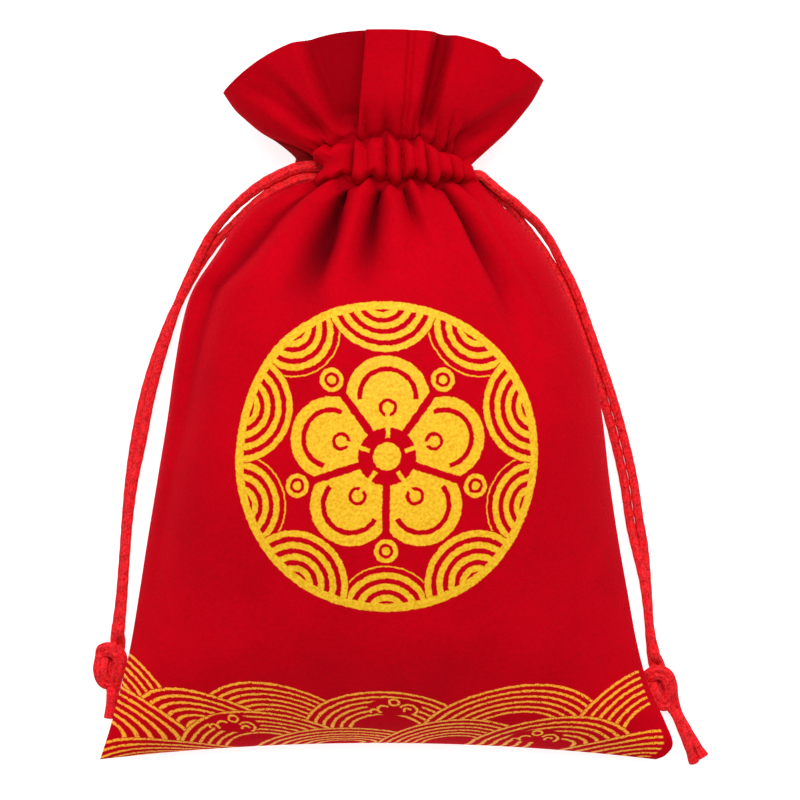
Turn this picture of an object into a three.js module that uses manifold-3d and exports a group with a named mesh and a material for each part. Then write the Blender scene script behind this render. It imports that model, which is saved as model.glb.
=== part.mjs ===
// A velvet drawstring pouch, lying on its back with its front panel up.
// Millimetres. +Z is up, +Y runs from the bottom seam to the frill, +X is to the right of the front panel.
import * as THREE from "three";
import { mergeVertices } from "three/addons/utils/BufferGeometryUtils.js";
import Module from "manifold-3d";

const wasm = await Module();
wasm.setup();

// Driving dimensions
const CLOTH = 1.2; // the velvet of the body
const HEM = 1.6; // the frill, where the cloth is folded double
const CASING = 7.0; // both layers of the drawstring casing and the channel between them
const SEAM_GAP = 0.3; // between the two panels, all along their seams
const CORD_DIAMETER = 2.0;
const CORD_SPACING = 2.15; // between the middles of the two strands of a pair where they touch
const CORD_SIDES = 8;
const CLEARANCE = 0.3; // round a cord in its channel
const END_GAP = 0.8; // between the ends of two stretches of cord that meet
const CHANNEL_INSET = 4.7; // from the casing's outside to the middle of the channel
const LEFT_CORD_Y = 47.2; // each cord has its own level in the channel
const RIGHT_CORD_Y = 44.4;
const FLOOR_CLEAR = 0.1; // under a cord that lies on the surface

// Sections of the pouch from the bottom seam to the rim.
// y: place on the centre line; left, right: the side seams; bowLeft, bowRight: how far its ends lie from y;
// seam: height of the side seams; front, back: how far each panel stands off the seam; wall: thickness.
const SECTIONS = table(["y", "left", "right", "bowLeft", "bowRight", "seam", "front", "back", "wall"], [
  [-69.0, -57.6, 54.2, -3.3, -3.3, 6.0, 0, 0, CLOTH],
  [-68.2, -57.2, 56.2, -3.2, -3.2, 6.2, 4.2, 3.4, CLOTH],
  [-66.1, -56.4, 57.6, -2.9, -2.9, 6.8, 9.2, 6.8, CLOTH],
  [-62.3, -55.0, 56.0, -2.3, -2.3, 7.6, 14.6, 9.0, CLOTH],
  [-56.05, -53.0, 52.6, -1.2, -1.2, 8.8, 20.2, 11.4, CLOTH],
  [-48.05, -51.0, 50.2, -0.6, -0.6, 10.0, 24.8, 13.4, CLOTH],
  [-38.05, -49.2, 48.2, 0, 0, 11.0, 28.0, 15.0, CLOTH],
  [-28.05, -47.6, 46.4, 0, 0, 11.8, 30.0, 16.0, CLOTH],
  [-16.05, -45.6, 44.6, 0, 0, 12.0, 31.0, 16.4, CLOTH],
  [-4.05, -43.6, 43.2, 0, 0, 12.4, 30.5, 16.6, CLOTH],
  [5.95, -42.2, 41.4, 0, 0, 12.8, 29.0, 16.4, CLOTH],
  [14.95, -40.6, 38.4, 0, 0, 13.4, 26.5, 16.0, CLOTH],
  [21.95, -38.4, 35.2, 0, 0, 13.8, 23.5, 15.4, CLOTH],
  [28.95, -33.8, 31.4, 0, 0, 14.0, 20.0, 14.6, CLOTH],
  [34.95, -29.8, 26.8, 0, 0, 14.0, 16.5, 13.4, CLOTH],
  [38.95, -25.2, 22.8, 0, 0, 14.0, 14.0, 12.4, CLOTH],
  [42.35, -17.2, 18.4, 0, 0, 14.0, 11.6, 11.6, HEM],
  [43.45, -15.8, 18.0, 0, 0, 14.0, 12.1, 12.1, CASING],
  [47.15, -15.2, 17.8, 0, 0, 14.0, 12.4, 12.4, CASING],
  [50.45, -15.6, 17.6, -1.4, -2.2, 14.0, 12.0, 12.0, CASING],
  [51.95, -17.0, 17.4, -2.6, -3.4, 14.0, 11.2, 11.4, HEM],
  [56.15, -21.6, 21.2, -5.0, -5.6, 14.0, 12.2, 12.0, HEM],
  [60.15, -24.9, 24.2, -7.0, -6.8, 14.0, 13.4, 12.6, HEM],
  [64.25, -27.7, 26.9, -8.8, -7.8, 14.0, 14.4, 13.0, HEM],
  [68.4, -30.2, 29.3, -10.6, -8.8, 14.0, 15.2, 13.4, HEM],
  [72.3, -32.4, 31.4, -11.3, -8.8, 14.0, 16.0, 13.8, HEM],
]);
// Rows of SECTIONS where the gathers change: lower and upper are the two rows of stitches.
const LEVEL = { bottom: 0, shoulder: 12, lower: 16, upper: 20, rim: 25 };
const BOTTOM_BOW_POWER = 2; // how the bow of a section grows towards its ends
const RIM_BOW_POWER = 3;

// Gathers of each panel, left to right.
// rim, upper, lower, shoulder: where the crease crosses the rim, the two rows of stitches and the shoulder;
// rimDepth, casingDepth, bodyDepth: its depth; reach: how far it runs down the body.
const CREASE_PLACES = ["rim", "upper", "lower", "shoulder"];
const CREASE_COLUMNS = [...CREASE_PLACES, "rimDepth", "casingDepth", "bodyDepth", "reach"];
const FRONT_CREASES = table(CREASE_COLUMNS, [
  [-22.2, -11.4, -13.4, -30.0, 3.0, 2.2, 1.6, 20],
  [-7.2, -6.8, -7.6, -13.6, 6.0, 3.0, 6.4, 38],
  [-2.4, -3.8, -4.2, -8.4, 0, 2.2, 1.0, 8],
  [1.2, 0.0, -0.6, -3.4, 0.3, 3.0, 4.6, 20],
  [5.0, 3.5, 3.7, 8.2, 1.8, 3.0, 3.4, 14],
  [12.6, 8.0, 8.4, 15.4, 5.2, 2.8, 1.4, 9],
  [20.4, 12.4, 11.8, 22.0, 0.8, 2.6, 5.4, 38],
  [25.4, 15.4, 16.0, 31.0, 3.0, 1.6, 1.4, 16],
]);
const BACK_CREASES = table(CREASE_COLUMNS, [
  [-23.0, -13.0, -13.0, -30.0, 2.6, 1.8, 1.4, 24],
  [-14.0, -8.2, -8.2, -19.0, 3.8, 2.3, 2.4, 18],
  [-4.4, -2.8, -2.8, -6.6, 4.0, 2.4, 2.6, 26],
  [5.0, 2.8, 2.8, 6.6, 3.6, 2.4, 2.4, 20],
  [14.0, 8.2, 8.2, 18.0, 4.0, 2.3, 2.6, 26],
  [23.0, 13.0, 13.0, 28.0, 2.6, 1.8, 1.4, 20],
]);
const ACROSS_RIDGE = [-1, -0.6, 0, 0.6]; // places across each ridge, from one crease towards the next
const CASING_ECHO = 0.25; // share of a crease that shows on the inside of the casing

// Routes of the two pairs of strands over the surface, from the slit in the side seam to the knot.
// x, y: middle of the pair; lift: its height above where it would lie; twist: turn about its own line;
// spacing: between the middles of its two strands.
const ROUTE_COLUMNS = ["x", "y", "lift", "twist", "spacing"];
const LEFT_ROUTE = table(ROUTE_COLUMNS, [
  [-16.2, 45.9, 12.0, 160, 2.3],
  [-18.2, 45.2, 12.0, 162, 2.3],
  [-20.7, 43.9, 11.8, 164, 2.3],
  [-23.3, 42.4, 11.0, 166, 2.3],
  [-25.9, 40.7, 9.7, 166, 2.4],
  [-28.7, 38.5, 7.8, 166, 2.45],
  [-30.8, 36.6, 6.0, 164, 2.4],
  [-32.7, 34.7, 4.4, 158, 2.25],
  [-34.9, 32.2, 2.9, 147, CORD_SPACING],
  [-37.5, 28.2, 1.2, 118, CORD_SPACING],
  [-39.7, 24.2, 0.3, 102, CORD_SPACING],
  [-41.7, 20.1, 0, 90, CORD_SPACING],
  [-43.4, 16.1, 0, 74, CORD_SPACING],
  [-46.2, 8.0, 0, 53, CORD_SPACING],
  [-48.4, 0.0, 0, 42, CORD_SPACING],
  [-50.0, -8.1, 0, 38, CORD_SPACING],
  [-51.4, -16.2, 0, 60, CORD_SPACING],
  [-52.3, -24.3, 0, 73, CORD_SPACING],
  [-52.9, -32.4, 0, 75, CORD_SPACING],
  [-53.5, -40.5, 0, 70, CORD_SPACING],
  [-54.2, -47.2, 0.5, 58, CORD_SPACING],
]);
const RIGHT_ROUTE = table(ROUTE_COLUMNS, [
  [18.7, 44.3, 11.9, 72, CORD_SPACING],
  [20.5, 42.8, 11.8, 71, CORD_SPACING],
  [23.1, 40.6, 10.8, 66, CORD_SPACING],
  [25.4, 38.8, 9.4, 54, CORD_SPACING],
  [27.7, 36.3, 7.7, 34, 2.25],
  [29.5, 34.5, 6.2, 12, 2.35],
  [31.1, 32.5, 4.6, 4, 2.35],
  [32.5, 30.6, 3.4, 6, 2.25],
  [34.6, 27.0, 1.7, 14, CORD_SPACING],
  [36.6, 23.4, 0.7, 20, CORD_SPACING],
  [38.3, 19.4, 0.2, 22, CORD_SPACING],
  [39.7, 15.4, 0, 22, CORD_SPACING],
  [42.5, 7.4, 0, 20, CORD_SPACING],
  [45.1, -0.6, 0, 12, CORD_SPACING],
  [47.3, -8.6, 0, 4, CORD_SPACING],
  [49.0, -16.2, 0, 0, CORD_SPACING],
  [50.2, -24.3, 0, -4, CORD_SPACING],
  [51.0, -28.4, 0, -18, CORD_SPACING],
  [51.7, -32.4, 0, -46, CORD_SPACING],
  [52.3, -36.4, 0, -68, CORD_SPACING],
  [52.8, -41.0, 0, -80, CORD_SPACING],
  [53.3, -47.0, 0.1, -92, CORD_SPACING],
  [54.0, -51.6, 0.6, -112, CORD_SPACING],
]);
const STRAND_STEPS = 30;

// One turn of the overhand knot, as shares of its half size.
// across: sideways; along: from the strands to the tails; up: above the surface.
const KNOT_PATH = table(["across", "along", "up"], [
  [0.05, -1.25, 0.3],
  [0.5, -0.6, 0.85],
  [0.75, 0.15, 0.8],
  [0.3, 0.75, 0.45],
  [-0.5, 0.7, 0.5],
  [-0.85, 0.0, 0.8],
  [-0.5, -0.65, 1.0],
  [0.3, -0.75, 0.35],
  [0.5, -0.1, 0.0],
  [0.1, 0.65, 0.1],
  [0.0, 1.2, 0.3],
]);
const KNOT_BENDS = [0, 4, 7, KNOT_PATH.length - 1]; // splits the turn, so that no stretch meets itself
const KNOT_HALF_WIDTH = 2.1;
const KNOT_HALF_LENGTH = 3.3;
const KNOT_RISE = 2.6;
const KNOT_BUNDLE = 3.5; // diameter of the two strands where they run through the knot together
const KNOT_SIDES = 6;
const KNOT_STEPS = 5;
const LEFT_KNOT = { x: -55.6, y: -53.8, heading: -91, tail: 6.6, splay: 0.1 };
const RIGHT_KNOT = { x: 55.7, y: -58.2, heading: -64, tail: 12.8, splay: 0.3 };

// Materials
const velvet = new THREE.MeshStandardMaterial({ color: 0xc4041c, roughness: 0.95, metalness: 0 });
const satin = new THREE.MeshStandardMaterial({ color: 0xe8202c, roughness: 0.5, metalness: 0 });

const { lerp, clamp, smoothstep, degToRad } = THREE.MathUtils;

// Rows of numbers as a list of records with the columns' names.
function table(columns, rows) {
  return rows.map((row) => Object.fromEntries(columns.map((name, column) => [name, row[column]])));
}

// A column of a table at a place between its rows, along a smooth curve through the rows.
function smoothColumn(rows, name, place) {
  const last = rows.length - 1;
  const row = Math.min(Math.floor(place), last - 1);
  const part = place - row;
  const [a, b, c, d] = [-1, 0, 1, 2].map((step) => rows[clamp(row + step, 0, last)][name]);
  const bend = 2 * a - 5 * b + 4 * c - d + part * (3 * (b - c) + d - a);
  return b + 0.5 * part * (c - a + part * bend);
}

// The wall's thickness, which changes in straight steps.
function wallAt(place) {
  const row = Math.min(Math.floor(place), SECTIONS.length - 2);
  return lerp(SECTIONS[row].wall, SECTIONS[row + 1].wall, place - row);
}

// The pouch's section at a place along it, shrunk by a wall's thickness for the inside.
function sectionAt(place, inset) {
  const at = (name) => smoothColumn(SECTIONS, name, place);
  const left = at("left") + inset;
  const right = at("right") - inset;
  const rise = Math.max(0, 1 - place / LEVEL.shoulder) ** 4;
  return {
    y: at("y") + inset * rise,
    middle: (left + right) / 2,
    half: (right - left) / 2,
    bowLeft: at("bowLeft"),
    bowRight: at("bowRight"),
    seam: at("seam"),
    front: Math.max(0, at("front") - inset),
    back: Math.max(0, at("back") - inset),
  };
}

// The angle round the section at which a crease lies, measured from the panel's middle.
function creaseAngle(creases, index, place) {
  const even = lerp(-Math.PI / 2, Math.PI / 2, index / (creases.length + 1));
  if (index === 0 || index === creases.length + 1) return even;
  const crease = creases[index - 1];
  const stops = [
    { place: LEVEL.bottom, angle: even },
    ...CREASE_PLACES.toReversed().map((name) => {
      const section = sectionAt(LEVEL[name], 0);
      return { place: LEVEL[name], angle: Math.asin((crease[name] - section.middle) / section.half) };
    }),
  ];
  const next = clamp(stops.findIndex((stop) => stop.place >= place), 1, stops.length - 1);
  const [from, to] = [stops[next - 1], stops[next]];
  return lerp(from.angle, to.angle, (place - from.place) / (to.place - from.place));
}

// How deep a crease is at a place along the pouch.
function creaseDepth(creases, index, place) {
  if (index === 0 || index === creases.length + 1) return 0;
  const { rimDepth, casingDepth, bodyDepth, reach } = creases[index - 1];
  if (place > LEVEL.upper) {
    return lerp(casingDepth, rimDepth, smoothstep(place, LEVEL.upper, LEVEL.upper + 3));
  }
  const below = (SECTIONS[LEVEL.lower].y - smoothColumn(SECTIONS, "y", place)) / reach;
  return lerp(casingDepth, bodyDepth, smoothstep(below, 0, 0.25)) * (1 - smoothstep(below, 0.2, 1));
}

// 0 where the cloth is pinched into round ridges with sharp creases, 1 where its folds are soft waves.
function softness(place) {
  const above = smoothstep(place, LEVEL.upper, LEVEL.upper + 2.5);
  const below = 1 - smoothstep(place, LEVEL.lower - 3, LEVEL.lower);
  return Math.max(above, below);
}

// A point of a panel. side: 1 front, -1 back; place: along SECTIONS; inner: on the inside of the wall;
// across: a whole number on each crease, with 0 and the last on the side seams.
function panelPoint(creases, side, across, place, inner) {
  const wall = wallAt(place);
  const section = sectionAt(place, inner ? wall : 0);
  const ridge = Math.min(Math.floor(across), creases.length);
  const span = 2 * (across - ridge) - 1;
  const angle = lerp(
    creaseAngle(creases, ridge, place),
    creaseAngle(creases, ridge + 1, place),
    across - ridge,
  );
  const echo = inner && wall > HEM ? lerp(1, CASING_ECHO, (wall - HEM) / (CASING - HEM)) : 1;
  const depth = creaseDepth(creases, span < 0 ? ridge : ridge + 1, place) * echo;
  const pinched = 1 - Math.sqrt(1 - span * span);
  const waved = (1 - Math.cos(Math.PI * span)) / 2;
  const dent = depth * lerp(pinched, waved, softness(place));
  const bulge = side > 0 ? section.front : section.back;
  const normal = new THREE.Vector2(bulge * Math.sin(angle), section.half * Math.cos(angle)).normalize();
  const x = section.middle + section.half * Math.sin(angle) - dent * normal.x;
  const z = section.seam + side * (SEAM_GAP / 2 + bulge * Math.cos(angle) - dent * normal.y);
  const bow = angle < 0 ? section.bowLeft : section.bowRight;
  const bowPower = lerp(BOTTOM_BOW_POWER, RIM_BOW_POWER, place / LEVEL.rim);
  const y = section.y + bow * Math.abs(Math.sin(angle)) ** bowPower;
  return [x, y, Math.max(z, inner && side < 0 ? wall : 0)];
}

// A closed wall between an outer and an inner grid of points. Both have rows of the same length.
function wallGeometry(outer, inner) {
  const rows = outer.length;
  const columns = outer[0].length;
  const at = (layer, row, column) => (layer * rows + row) * columns + column;
  const faces = [];
  const quad = (a, b, c, d) => faces.push(a, b, c, a, c, d);
  for (let row = 0; row < rows - 1; row++) {
    for (let column = 0; column < columns - 1; column++) {
      quad(at(0, row, column), at(0, row, column + 1), at(0, row + 1, column + 1), at(0, row + 1, column));
      quad(at(1, row, column), at(1, row + 1, column), at(1, row + 1, column + 1), at(1, row, column + 1));
    }
    quad(at(0, row, 0), at(0, row + 1, 0), at(1, row + 1, 0), at(1, row, 0));
    const last = columns - 1;
    quad(at(0, row, last), at(1, row, last), at(1, row + 1, last), at(0, row + 1, last));
  }
  for (let column = 0; column < columns - 1; column++) {
    quad(at(0, 0, column), at(1, 0, column), at(1, 0, column + 1), at(0, 0, column + 1));
    const last = rows - 1;
    quad(at(0, last, column), at(0, last, column + 1), at(1, last, column + 1), at(1, last, column));
  }
  const geometry = new THREE.BufferGeometry();
  geometry.setAttribute("position", new THREE.Float32BufferAttribute([...outer, ...inner].flat(2), 3));
  return geometry.setIndex(faces);
}

// One panel, as a wall from the bottom seam to the rim.
function panelWall(creases, side) {
  const ridges = Array.from({ length: creases.length + 1 }, (_, ridge) => ridge);
  const places = ridges.flatMap((ridge) => ACROSS_RIDGE.map((span) => ridge + (span + 1) / 2));
  const across = [...places, ridges.length];
  const ordered = side > 0 ? across : across.toReversed();
  const grid = (inner) =>
    SECTIONS.map((_, place) => ordered.map((column) => panelPoint(creases, side, column, place, inner)));
  return wallGeometry(grid(false), grid(true));
}

// A closed mesh as a solid that can be joined and cut, and back.
function solid(geometry) {
  const bare = new THREE.BufferGeometry().setAttribute("position", geometry.getAttribute("position"));
  const merged = mergeVertices(bare.setIndex(geometry.index), 1e-4);
  const vertProperties = merged.getAttribute("position").array;
  const triVerts = Uint32Array.from(merged.index.array);
  return new wasm.Manifold(new wasm.Mesh({ numProp: 3, vertProperties, triVerts }));
}

function geometryOf(made) {
  const mesh = made.getMesh();
  const geometry = new THREE.BufferGeometry();
  geometry.setAttribute("position", new THREE.BufferAttribute(mesh.vertProperties, mesh.numProp));
  return geometry.setIndex(new THREE.BufferAttribute(mesh.triVerts, 1));
}

// A tube with flat ends through points, with a round section of so many sides.
function tube(points, diameter, steps, sides) {
  const corners = Array.from({ length: sides }, (_, side) => {
    const turn = (2 * Math.PI * side) / sides;
    return new THREE.Vector2(Math.cos(turn), Math.sin(turn)).multiplyScalar(diameter / 2);
  });
  const extrudePath = new THREE.CatmullRomCurve3(points, false, "centripetal");
  return new THREE.ExtrudeGeometry(new THREE.Shape(corners), { steps, extrudePath, bevelEnabled: false });
}

// The neck that the cords run round, taken at the middle of the casing.
const neck = sectionAt((LEVEL.lower + LEVEL.upper) / 2, 0);
const channelHalfWidth = neck.half - CHANNEL_INSET;
const channelHalfDepth = neck.front - CHANNEL_INSET;

// A point on the ring that runs round the middle of the channel.
function channelPoint(angle, y) {
  const x = neck.middle + channelHalfWidth * Math.cos(angle);
  return new THREE.Vector3(x, y, neck.seam + channelHalfDepth * Math.sin(angle));
}

// The channel of one panel, past the side seams at both ends.
function channelCut(side) {
  const overrun = degToRad(12);
  const stops = 12;
  const y = (LEFT_CORD_Y + RIGHT_CORD_Y) / 2;
  const points = Array.from({ length: stops + 1 }, (_, stop) =>
    channelPoint(side * lerp(-overrun, Math.PI + overrun, stop / stops), y),
  );
  const high = Math.abs(LEFT_CORD_Y - RIGHT_CORD_Y) + CORD_DIAMETER + 2 * CLEARANCE;
  const deep = CORD_DIAMETER + 2 * CLEARANCE;
  const outline = new THREE.Shape([
    new THREE.Vector2(-high / 2, -deep / 2),
    new THREE.Vector2(high / 2, -deep / 2),
    new THREE.Vector2(high / 2, deep / 2),
    new THREE.Vector2(-high / 2, deep / 2),
  ]);
  const extrudePath = new THREE.CatmullRomCurve3(points);
  return solid(new THREE.ExtrudeGeometry(outline, { steps: 18, extrudePath, bevelEnabled: false }));
}

// The slit in a side seam where a cord's two strands come out of the channel. side: -1 left, 1 right.
function slitCut(side, route) {
  const { y, twist, spacing } = route[0];
  const wide = spacing * Math.abs(Math.cos(degToRad(twist))) + CORD_DIAMETER + 2 * CLEARANCE;
  const high = spacing * Math.abs(Math.sin(degToRad(twist))) + CORD_DIAMETER + 14 * CLEARANCE;
  const long = CASING + 3;
  const box = new THREE.BoxGeometry(long, wide, high);
  return solid(box.translate(neck.middle + side * (neck.half + 1.5 - long / 2), y, neck.seam));
}

// The stretch of one drawstring inside the channel: in at its slit, round the neck and out again.
// side: -1 left, 1 right.
function cordLoop(side, y, route) {
  const mouth = (strand) =>
    [END_GAP, 2 * END_GAP].map((inward) => {
      const start = strandPoints(route, strand)[0];
      return start.setX(start.x - side * inward);
    });
  const start = side > 0 ? 0 : Math.PI;
  const turns = 14;
  const ring = Array.from({ length: turns + 1 }, (_, turn) => {
    const swept = lerp(degToRad(22), degToRad(338), turn / turns);
    return channelPoint(start + side * swept, y);
  });
  return tube([...mouth(1), ...ring, ...mouth(-1).reverse()], CORD_DIAMETER, 26, CORD_SIDES);
}

// The middle of a pair of strands at a row of its route: its height is where it would lie, plus its lift.
function pairPoint({ x, y, lift, twist, spacing }) {
  const lying = FLOOR_CLEAR + CORD_DIAMETER / 2 + (spacing / 2) * Math.abs(Math.sin(degToRad(twist)));
  return new THREE.Vector3(x, y, lying + lift);
}

// The points of one strand of a pair. strand: 1 or -1.
function strandPoints(route, strand) {
  const middles = route.map(pairPoint);
  return route.map(({ twist, spacing }, row) => {
    const before = middles[Math.max(row - 1, 0)];
    const after = middles[Math.min(row + 1, route.length - 1)];
    const ahead = new THREE.Vector3().subVectors(after, before).setZ(0).normalize();
    const turn = degToRad(twist);
    const offset = new THREE.Vector3(-ahead.y * Math.cos(turn), ahead.x * Math.cos(turn), Math.sin(turn));
    return middles[row].clone().addScaledVector(offset, (strand * spacing) / 2);
  });
}

// A knot's own directions in plan: along the cord, and sideways to its left.
function knotFrame({ heading }) {
  const along = new THREE.Vector3(Math.cos(degToRad(heading)), Math.sin(degToRad(heading)), 0);
  return { along, aside: new THREE.Vector3(-along.y, along.x, 0) };
}

// The overhand knot of a pair, with the ends of the two strands leading into it and its two cut tails.
function knot(place, route) {
  const { along, aside } = knotFrame(place);
  const bottom = FLOOR_CLEAR + KNOT_BUNDLE / 2;
  const at = (sideways, ahead, height) =>
    new THREE.Vector3(place.x, place.y, height)
      .addScaledVector(aside, sideways)
      .addScaledVector(along, ahead);
  const turn = KNOT_PATH.map((row) =>
    at(row.across * KNOT_HALF_WIDTH, row.along * KNOT_HALF_LENGTH, bottom + row.up * KNOT_RISE),
  );
  const stretches = KNOT_BENDS.slice(1).map((end, index) =>
    tube(turn.slice(KNOT_BENDS[index], end + 1), KNOT_BUNDLE, KNOT_STEPS, KNOT_SIDES),
  );
  const ends = [1, -1].flatMap((strand) => {
    const meets = strandPoints(route, strand);
    const [before, last] = meets.slice(-2);
    const ahead = last.clone().sub(before).normalize();
    const start = last.clone().addScaledVector(ahead, END_GAP);
    const straight = start.clone().addScaledVector(ahead, END_GAP);
    const lead = tube([start, straight, turn[0]], CORD_DIAMETER, 3, KNOT_SIDES);
    const sideways = (strand * CORD_SPACING) / 2;
    const low = FLOOR_CLEAR + CORD_DIAMETER / 2;
    const leaves = KNOT_HALF_LENGTH * 0.6;
    const tail = tube(
      [
        at(sideways * 0.6, leaves, bottom),
        at(sideways, leaves + 0.5 * place.tail, low + 0.3),
        at(sideways * (1 + place.splay), KNOT_HALF_LENGTH + place.tail, low),
      ],
      CORD_DIAMETER,
      4,
      KNOT_SIDES,
    );
    return [lead, tail];
  });
  return geometryOf([...stretches, ...ends].map(solid).reduce((whole, piece) => whole.add(piece)));
}

// A named piece in its own material.
function piece(name, geometry, material) {
  const mesh = new THREE.Mesh(geometry, material);
  mesh.name = name;
  return mesh;
}

// One panel with its drawstring channel and the two slits.
function panel(name, creases, side) {
  const cuts = [channelCut(side), slitCut(-1, LEFT_ROUTE), slitCut(1, RIGHT_ROUTE)];
  const whole = solid(panelWall(creases, side));
  return piece(name, geometryOf(cuts.reduce((left, cut) => left.subtract(cut), whole)), velvet);
}

// One drawstring: its hidden loop, its two free strands and the knot that ties them.
function drawstring(name, side, y, route, knotPlace) {
  const group = new THREE.Group();
  group.add(piece(`${name}_cord_loop`, cordLoop(side, y, route), satin));
  [["a", 1], ["b", -1]].forEach(([letter, strand]) => {
    const strandTube = tube(strandPoints(route, strand), CORD_DIAMETER, STRAND_STEPS, CORD_SIDES);
    group.add(piece(`${name}_cord_${letter}`, strandTube, satin));
  });
  return group.add(piece(`${name}_knot`, knot(knotPlace, route), satin));
}

const pouch = new THREE.Group();
pouch.name = "drawstring_pouch";
pouch.add(panel("front_panel", FRONT_CREASES, 1));
pouch.add(panel("back_panel", BACK_CREASES, -1));
pouch.add(drawstring("left", -1, LEFT_CORD_Y, LEFT_ROUTE, LEFT_KNOT));
pouch.add(drawstring("right", 1, RIGHT_CORD_Y, RIGHT_ROUTE, RIGHT_KNOT));

export default pouch;
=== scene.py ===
"""A filled velvet drawstring pouch lying on its back, with a printed front and knotted satin cords."""

import bpy
import numpy as np
from bpy.props import FloatProperty, FloatVectorProperty, PointerProperty
from bpy.types import Operator, Panel, PropertyGroup
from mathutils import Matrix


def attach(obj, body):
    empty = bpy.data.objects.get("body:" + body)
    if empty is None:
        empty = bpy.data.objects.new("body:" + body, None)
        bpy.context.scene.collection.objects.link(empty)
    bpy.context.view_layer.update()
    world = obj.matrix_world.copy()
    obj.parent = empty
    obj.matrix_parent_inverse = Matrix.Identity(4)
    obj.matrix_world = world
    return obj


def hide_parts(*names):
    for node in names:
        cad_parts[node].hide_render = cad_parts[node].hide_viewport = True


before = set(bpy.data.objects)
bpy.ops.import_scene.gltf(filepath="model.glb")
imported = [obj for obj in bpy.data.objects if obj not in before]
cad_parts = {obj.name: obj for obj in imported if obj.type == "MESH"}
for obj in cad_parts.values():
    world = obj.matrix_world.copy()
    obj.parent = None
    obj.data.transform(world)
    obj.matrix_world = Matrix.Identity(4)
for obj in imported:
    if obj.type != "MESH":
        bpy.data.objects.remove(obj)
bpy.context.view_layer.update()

bl_info = {
    "name": "Velvet drawstring pouch",
    "version": (1, 0, 0),
    "blender": (4, 5, 0),
    "location": "View3D > Sidebar > Pouch",
    "description": "Builds a filled velvet pouch with a printed front and knotted satin drawstrings",
    "category": "Add Mesh",
}

# Every table below is in millimetres, in the frame of the CAD model: +Y from bottom seam to frill, +Z up.
MM = 0.001


def table(columns, rows):
    """The columns of a table by name, each an array down the rows."""
    values = np.array(rows, dtype=float)
    return {name: values[:, place] for place, name in enumerate(columns.split())}


# Cross sections of the pouch from the bottom seam to the rim. Left and right are the side seams, the bows
# bend the ends of a section towards the bottom, and front and back are the bulges above and below the seam.
SECTIONS = table(
    "y left right bow_left bow_right seam front back",
    [
        (-69.0, -57.6, 54.2, -3.3, -3.3, 6.0, 0.0, 0.0),
        (-68.2, -57.2, 56.2, -3.2, -3.2, 6.2, 4.2, 3.4),
        (-66.1, -56.4, 57.6, -2.9, -2.9, 6.8, 9.2, 6.8),
        (-62.3, -55.0, 56.0, -2.3, -2.3, 7.6, 14.6, 9.0),
        (-56.05, -53.0, 52.6, -1.2, -1.2, 8.8, 20.2, 11.4),
        (-48.05, -51.0, 50.2, -0.6, -0.6, 10.0, 24.8, 13.4),
        (-38.05, -49.2, 48.2, 0.0, 0.0, 11.0, 28.0, 15.0),
        (-28.05, -47.6, 46.4, 0.0, 0.0, 11.8, 30.0, 16.0),
        (-16.05, -45.6, 44.6, 0.0, 0.0, 12.0, 31.0, 16.4),
        (-4.05, -43.6, 43.2, 0.0, 0.0, 12.4, 30.5, 16.6),
        (5.95, -42.2, 41.4, 0.0, 0.0, 12.8, 29.0, 16.4),
        (14.95, -40.6, 38.4, 0.0, 0.0, 13.4, 26.5, 16.0),
        (21.95, -38.4, 35.2, 0.0, 0.0, 13.8, 23.5, 15.4),
        (28.95, -33.8, 31.4, 0.0, 0.0, 14.0, 20.0, 14.6),
        (34.95, -29.8, 26.8, 0.0, 0.0, 14.0, 16.5, 13.4),
        (38.95, -26.0, 22.8, 0.0, 0.0, 14.0, 14.0, 12.4),
        (42.85, -19.2, 18.8, 0.0, 0.0, 14.0, 11.6, 11.6),
        (43.95, -17.6, 18.4, -0.2, -0.2, 14.0, 12.1, 12.1),
        (47.15, -15.6, 17.6, -1.6, -1.8, 14.0, 12.4, 12.4),
        (50.45, -18.0, 17.2, -3.2, -4.0, 14.0, 12.0, 12.0),
        (51.95, -18.2, 17.0, -3.6, -5.2, 14.0, 11.2, 11.4),
        (56.15, -21.6, 21.2, -5.0, -5.6, 14.0, 12.2, 12.0),
        (60.15, -24.9, 24.2, -7.0, -6.8, 14.0, 13.4, 12.6),
        (64.25, -27.7, 26.9, -8.8, -7.8, 14.0, 14.4, 13.0),
        (68.4, -30.2, 29.3, -10.6, -8.8, 14.0, 15.2, 13.4),
        (72.3, -32.4, 31.4, -11.3, -8.8, 14.0, 16.0, 13.8),
    ],
)
# Rows of that table: the shoulder, halfway from it to the neck, the two stitched rows that hold the
# drawstring channel, and the rim.
SHOULDER_ROW = 12
HALFWAY_ROW = 14
LOWER_STITCH_ROW = 16
UPPER_STITCH_ROW = 20
RIM_ROW = 25
# How sharply the ends of a section bend, at the bottom and at the rim.
BOTTOM_BOW_POWER = 2
RIM_BOW_POWER = 2.7

# Columns of the tables of gathers, which are the same for the front and the back.
CHANNEL_COLUMNS = "upper lower depth"
FOLD_COLUMNS = "neck halfway shoulder depth reach"
FRILL_COLUMNS = "left_neck left_rim right_neck right_rim neck_depth rim_depth left_slope right_slope"

# Creases of the front between the two stitched rows: sideways place at each row, and depth.
FRONT_CHANNEL = table(
    CHANNEL_COLUMNS,
    [
        (-6.7, -7.8, 4.4),
        (-4.3, -4.0, 1.6),
        (-0.1, 0.1, 4.0),
        (3.4, 3.6, 4.0),
        (6.0, 6.5, 1.2),
        (8.0, 9.2, 4.0),
        (10.8, 11.8, 1.6),
        (13.3, 14.3, 3.4),
        (15.6, 16.3, 2.0),
    ],
)
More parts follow.
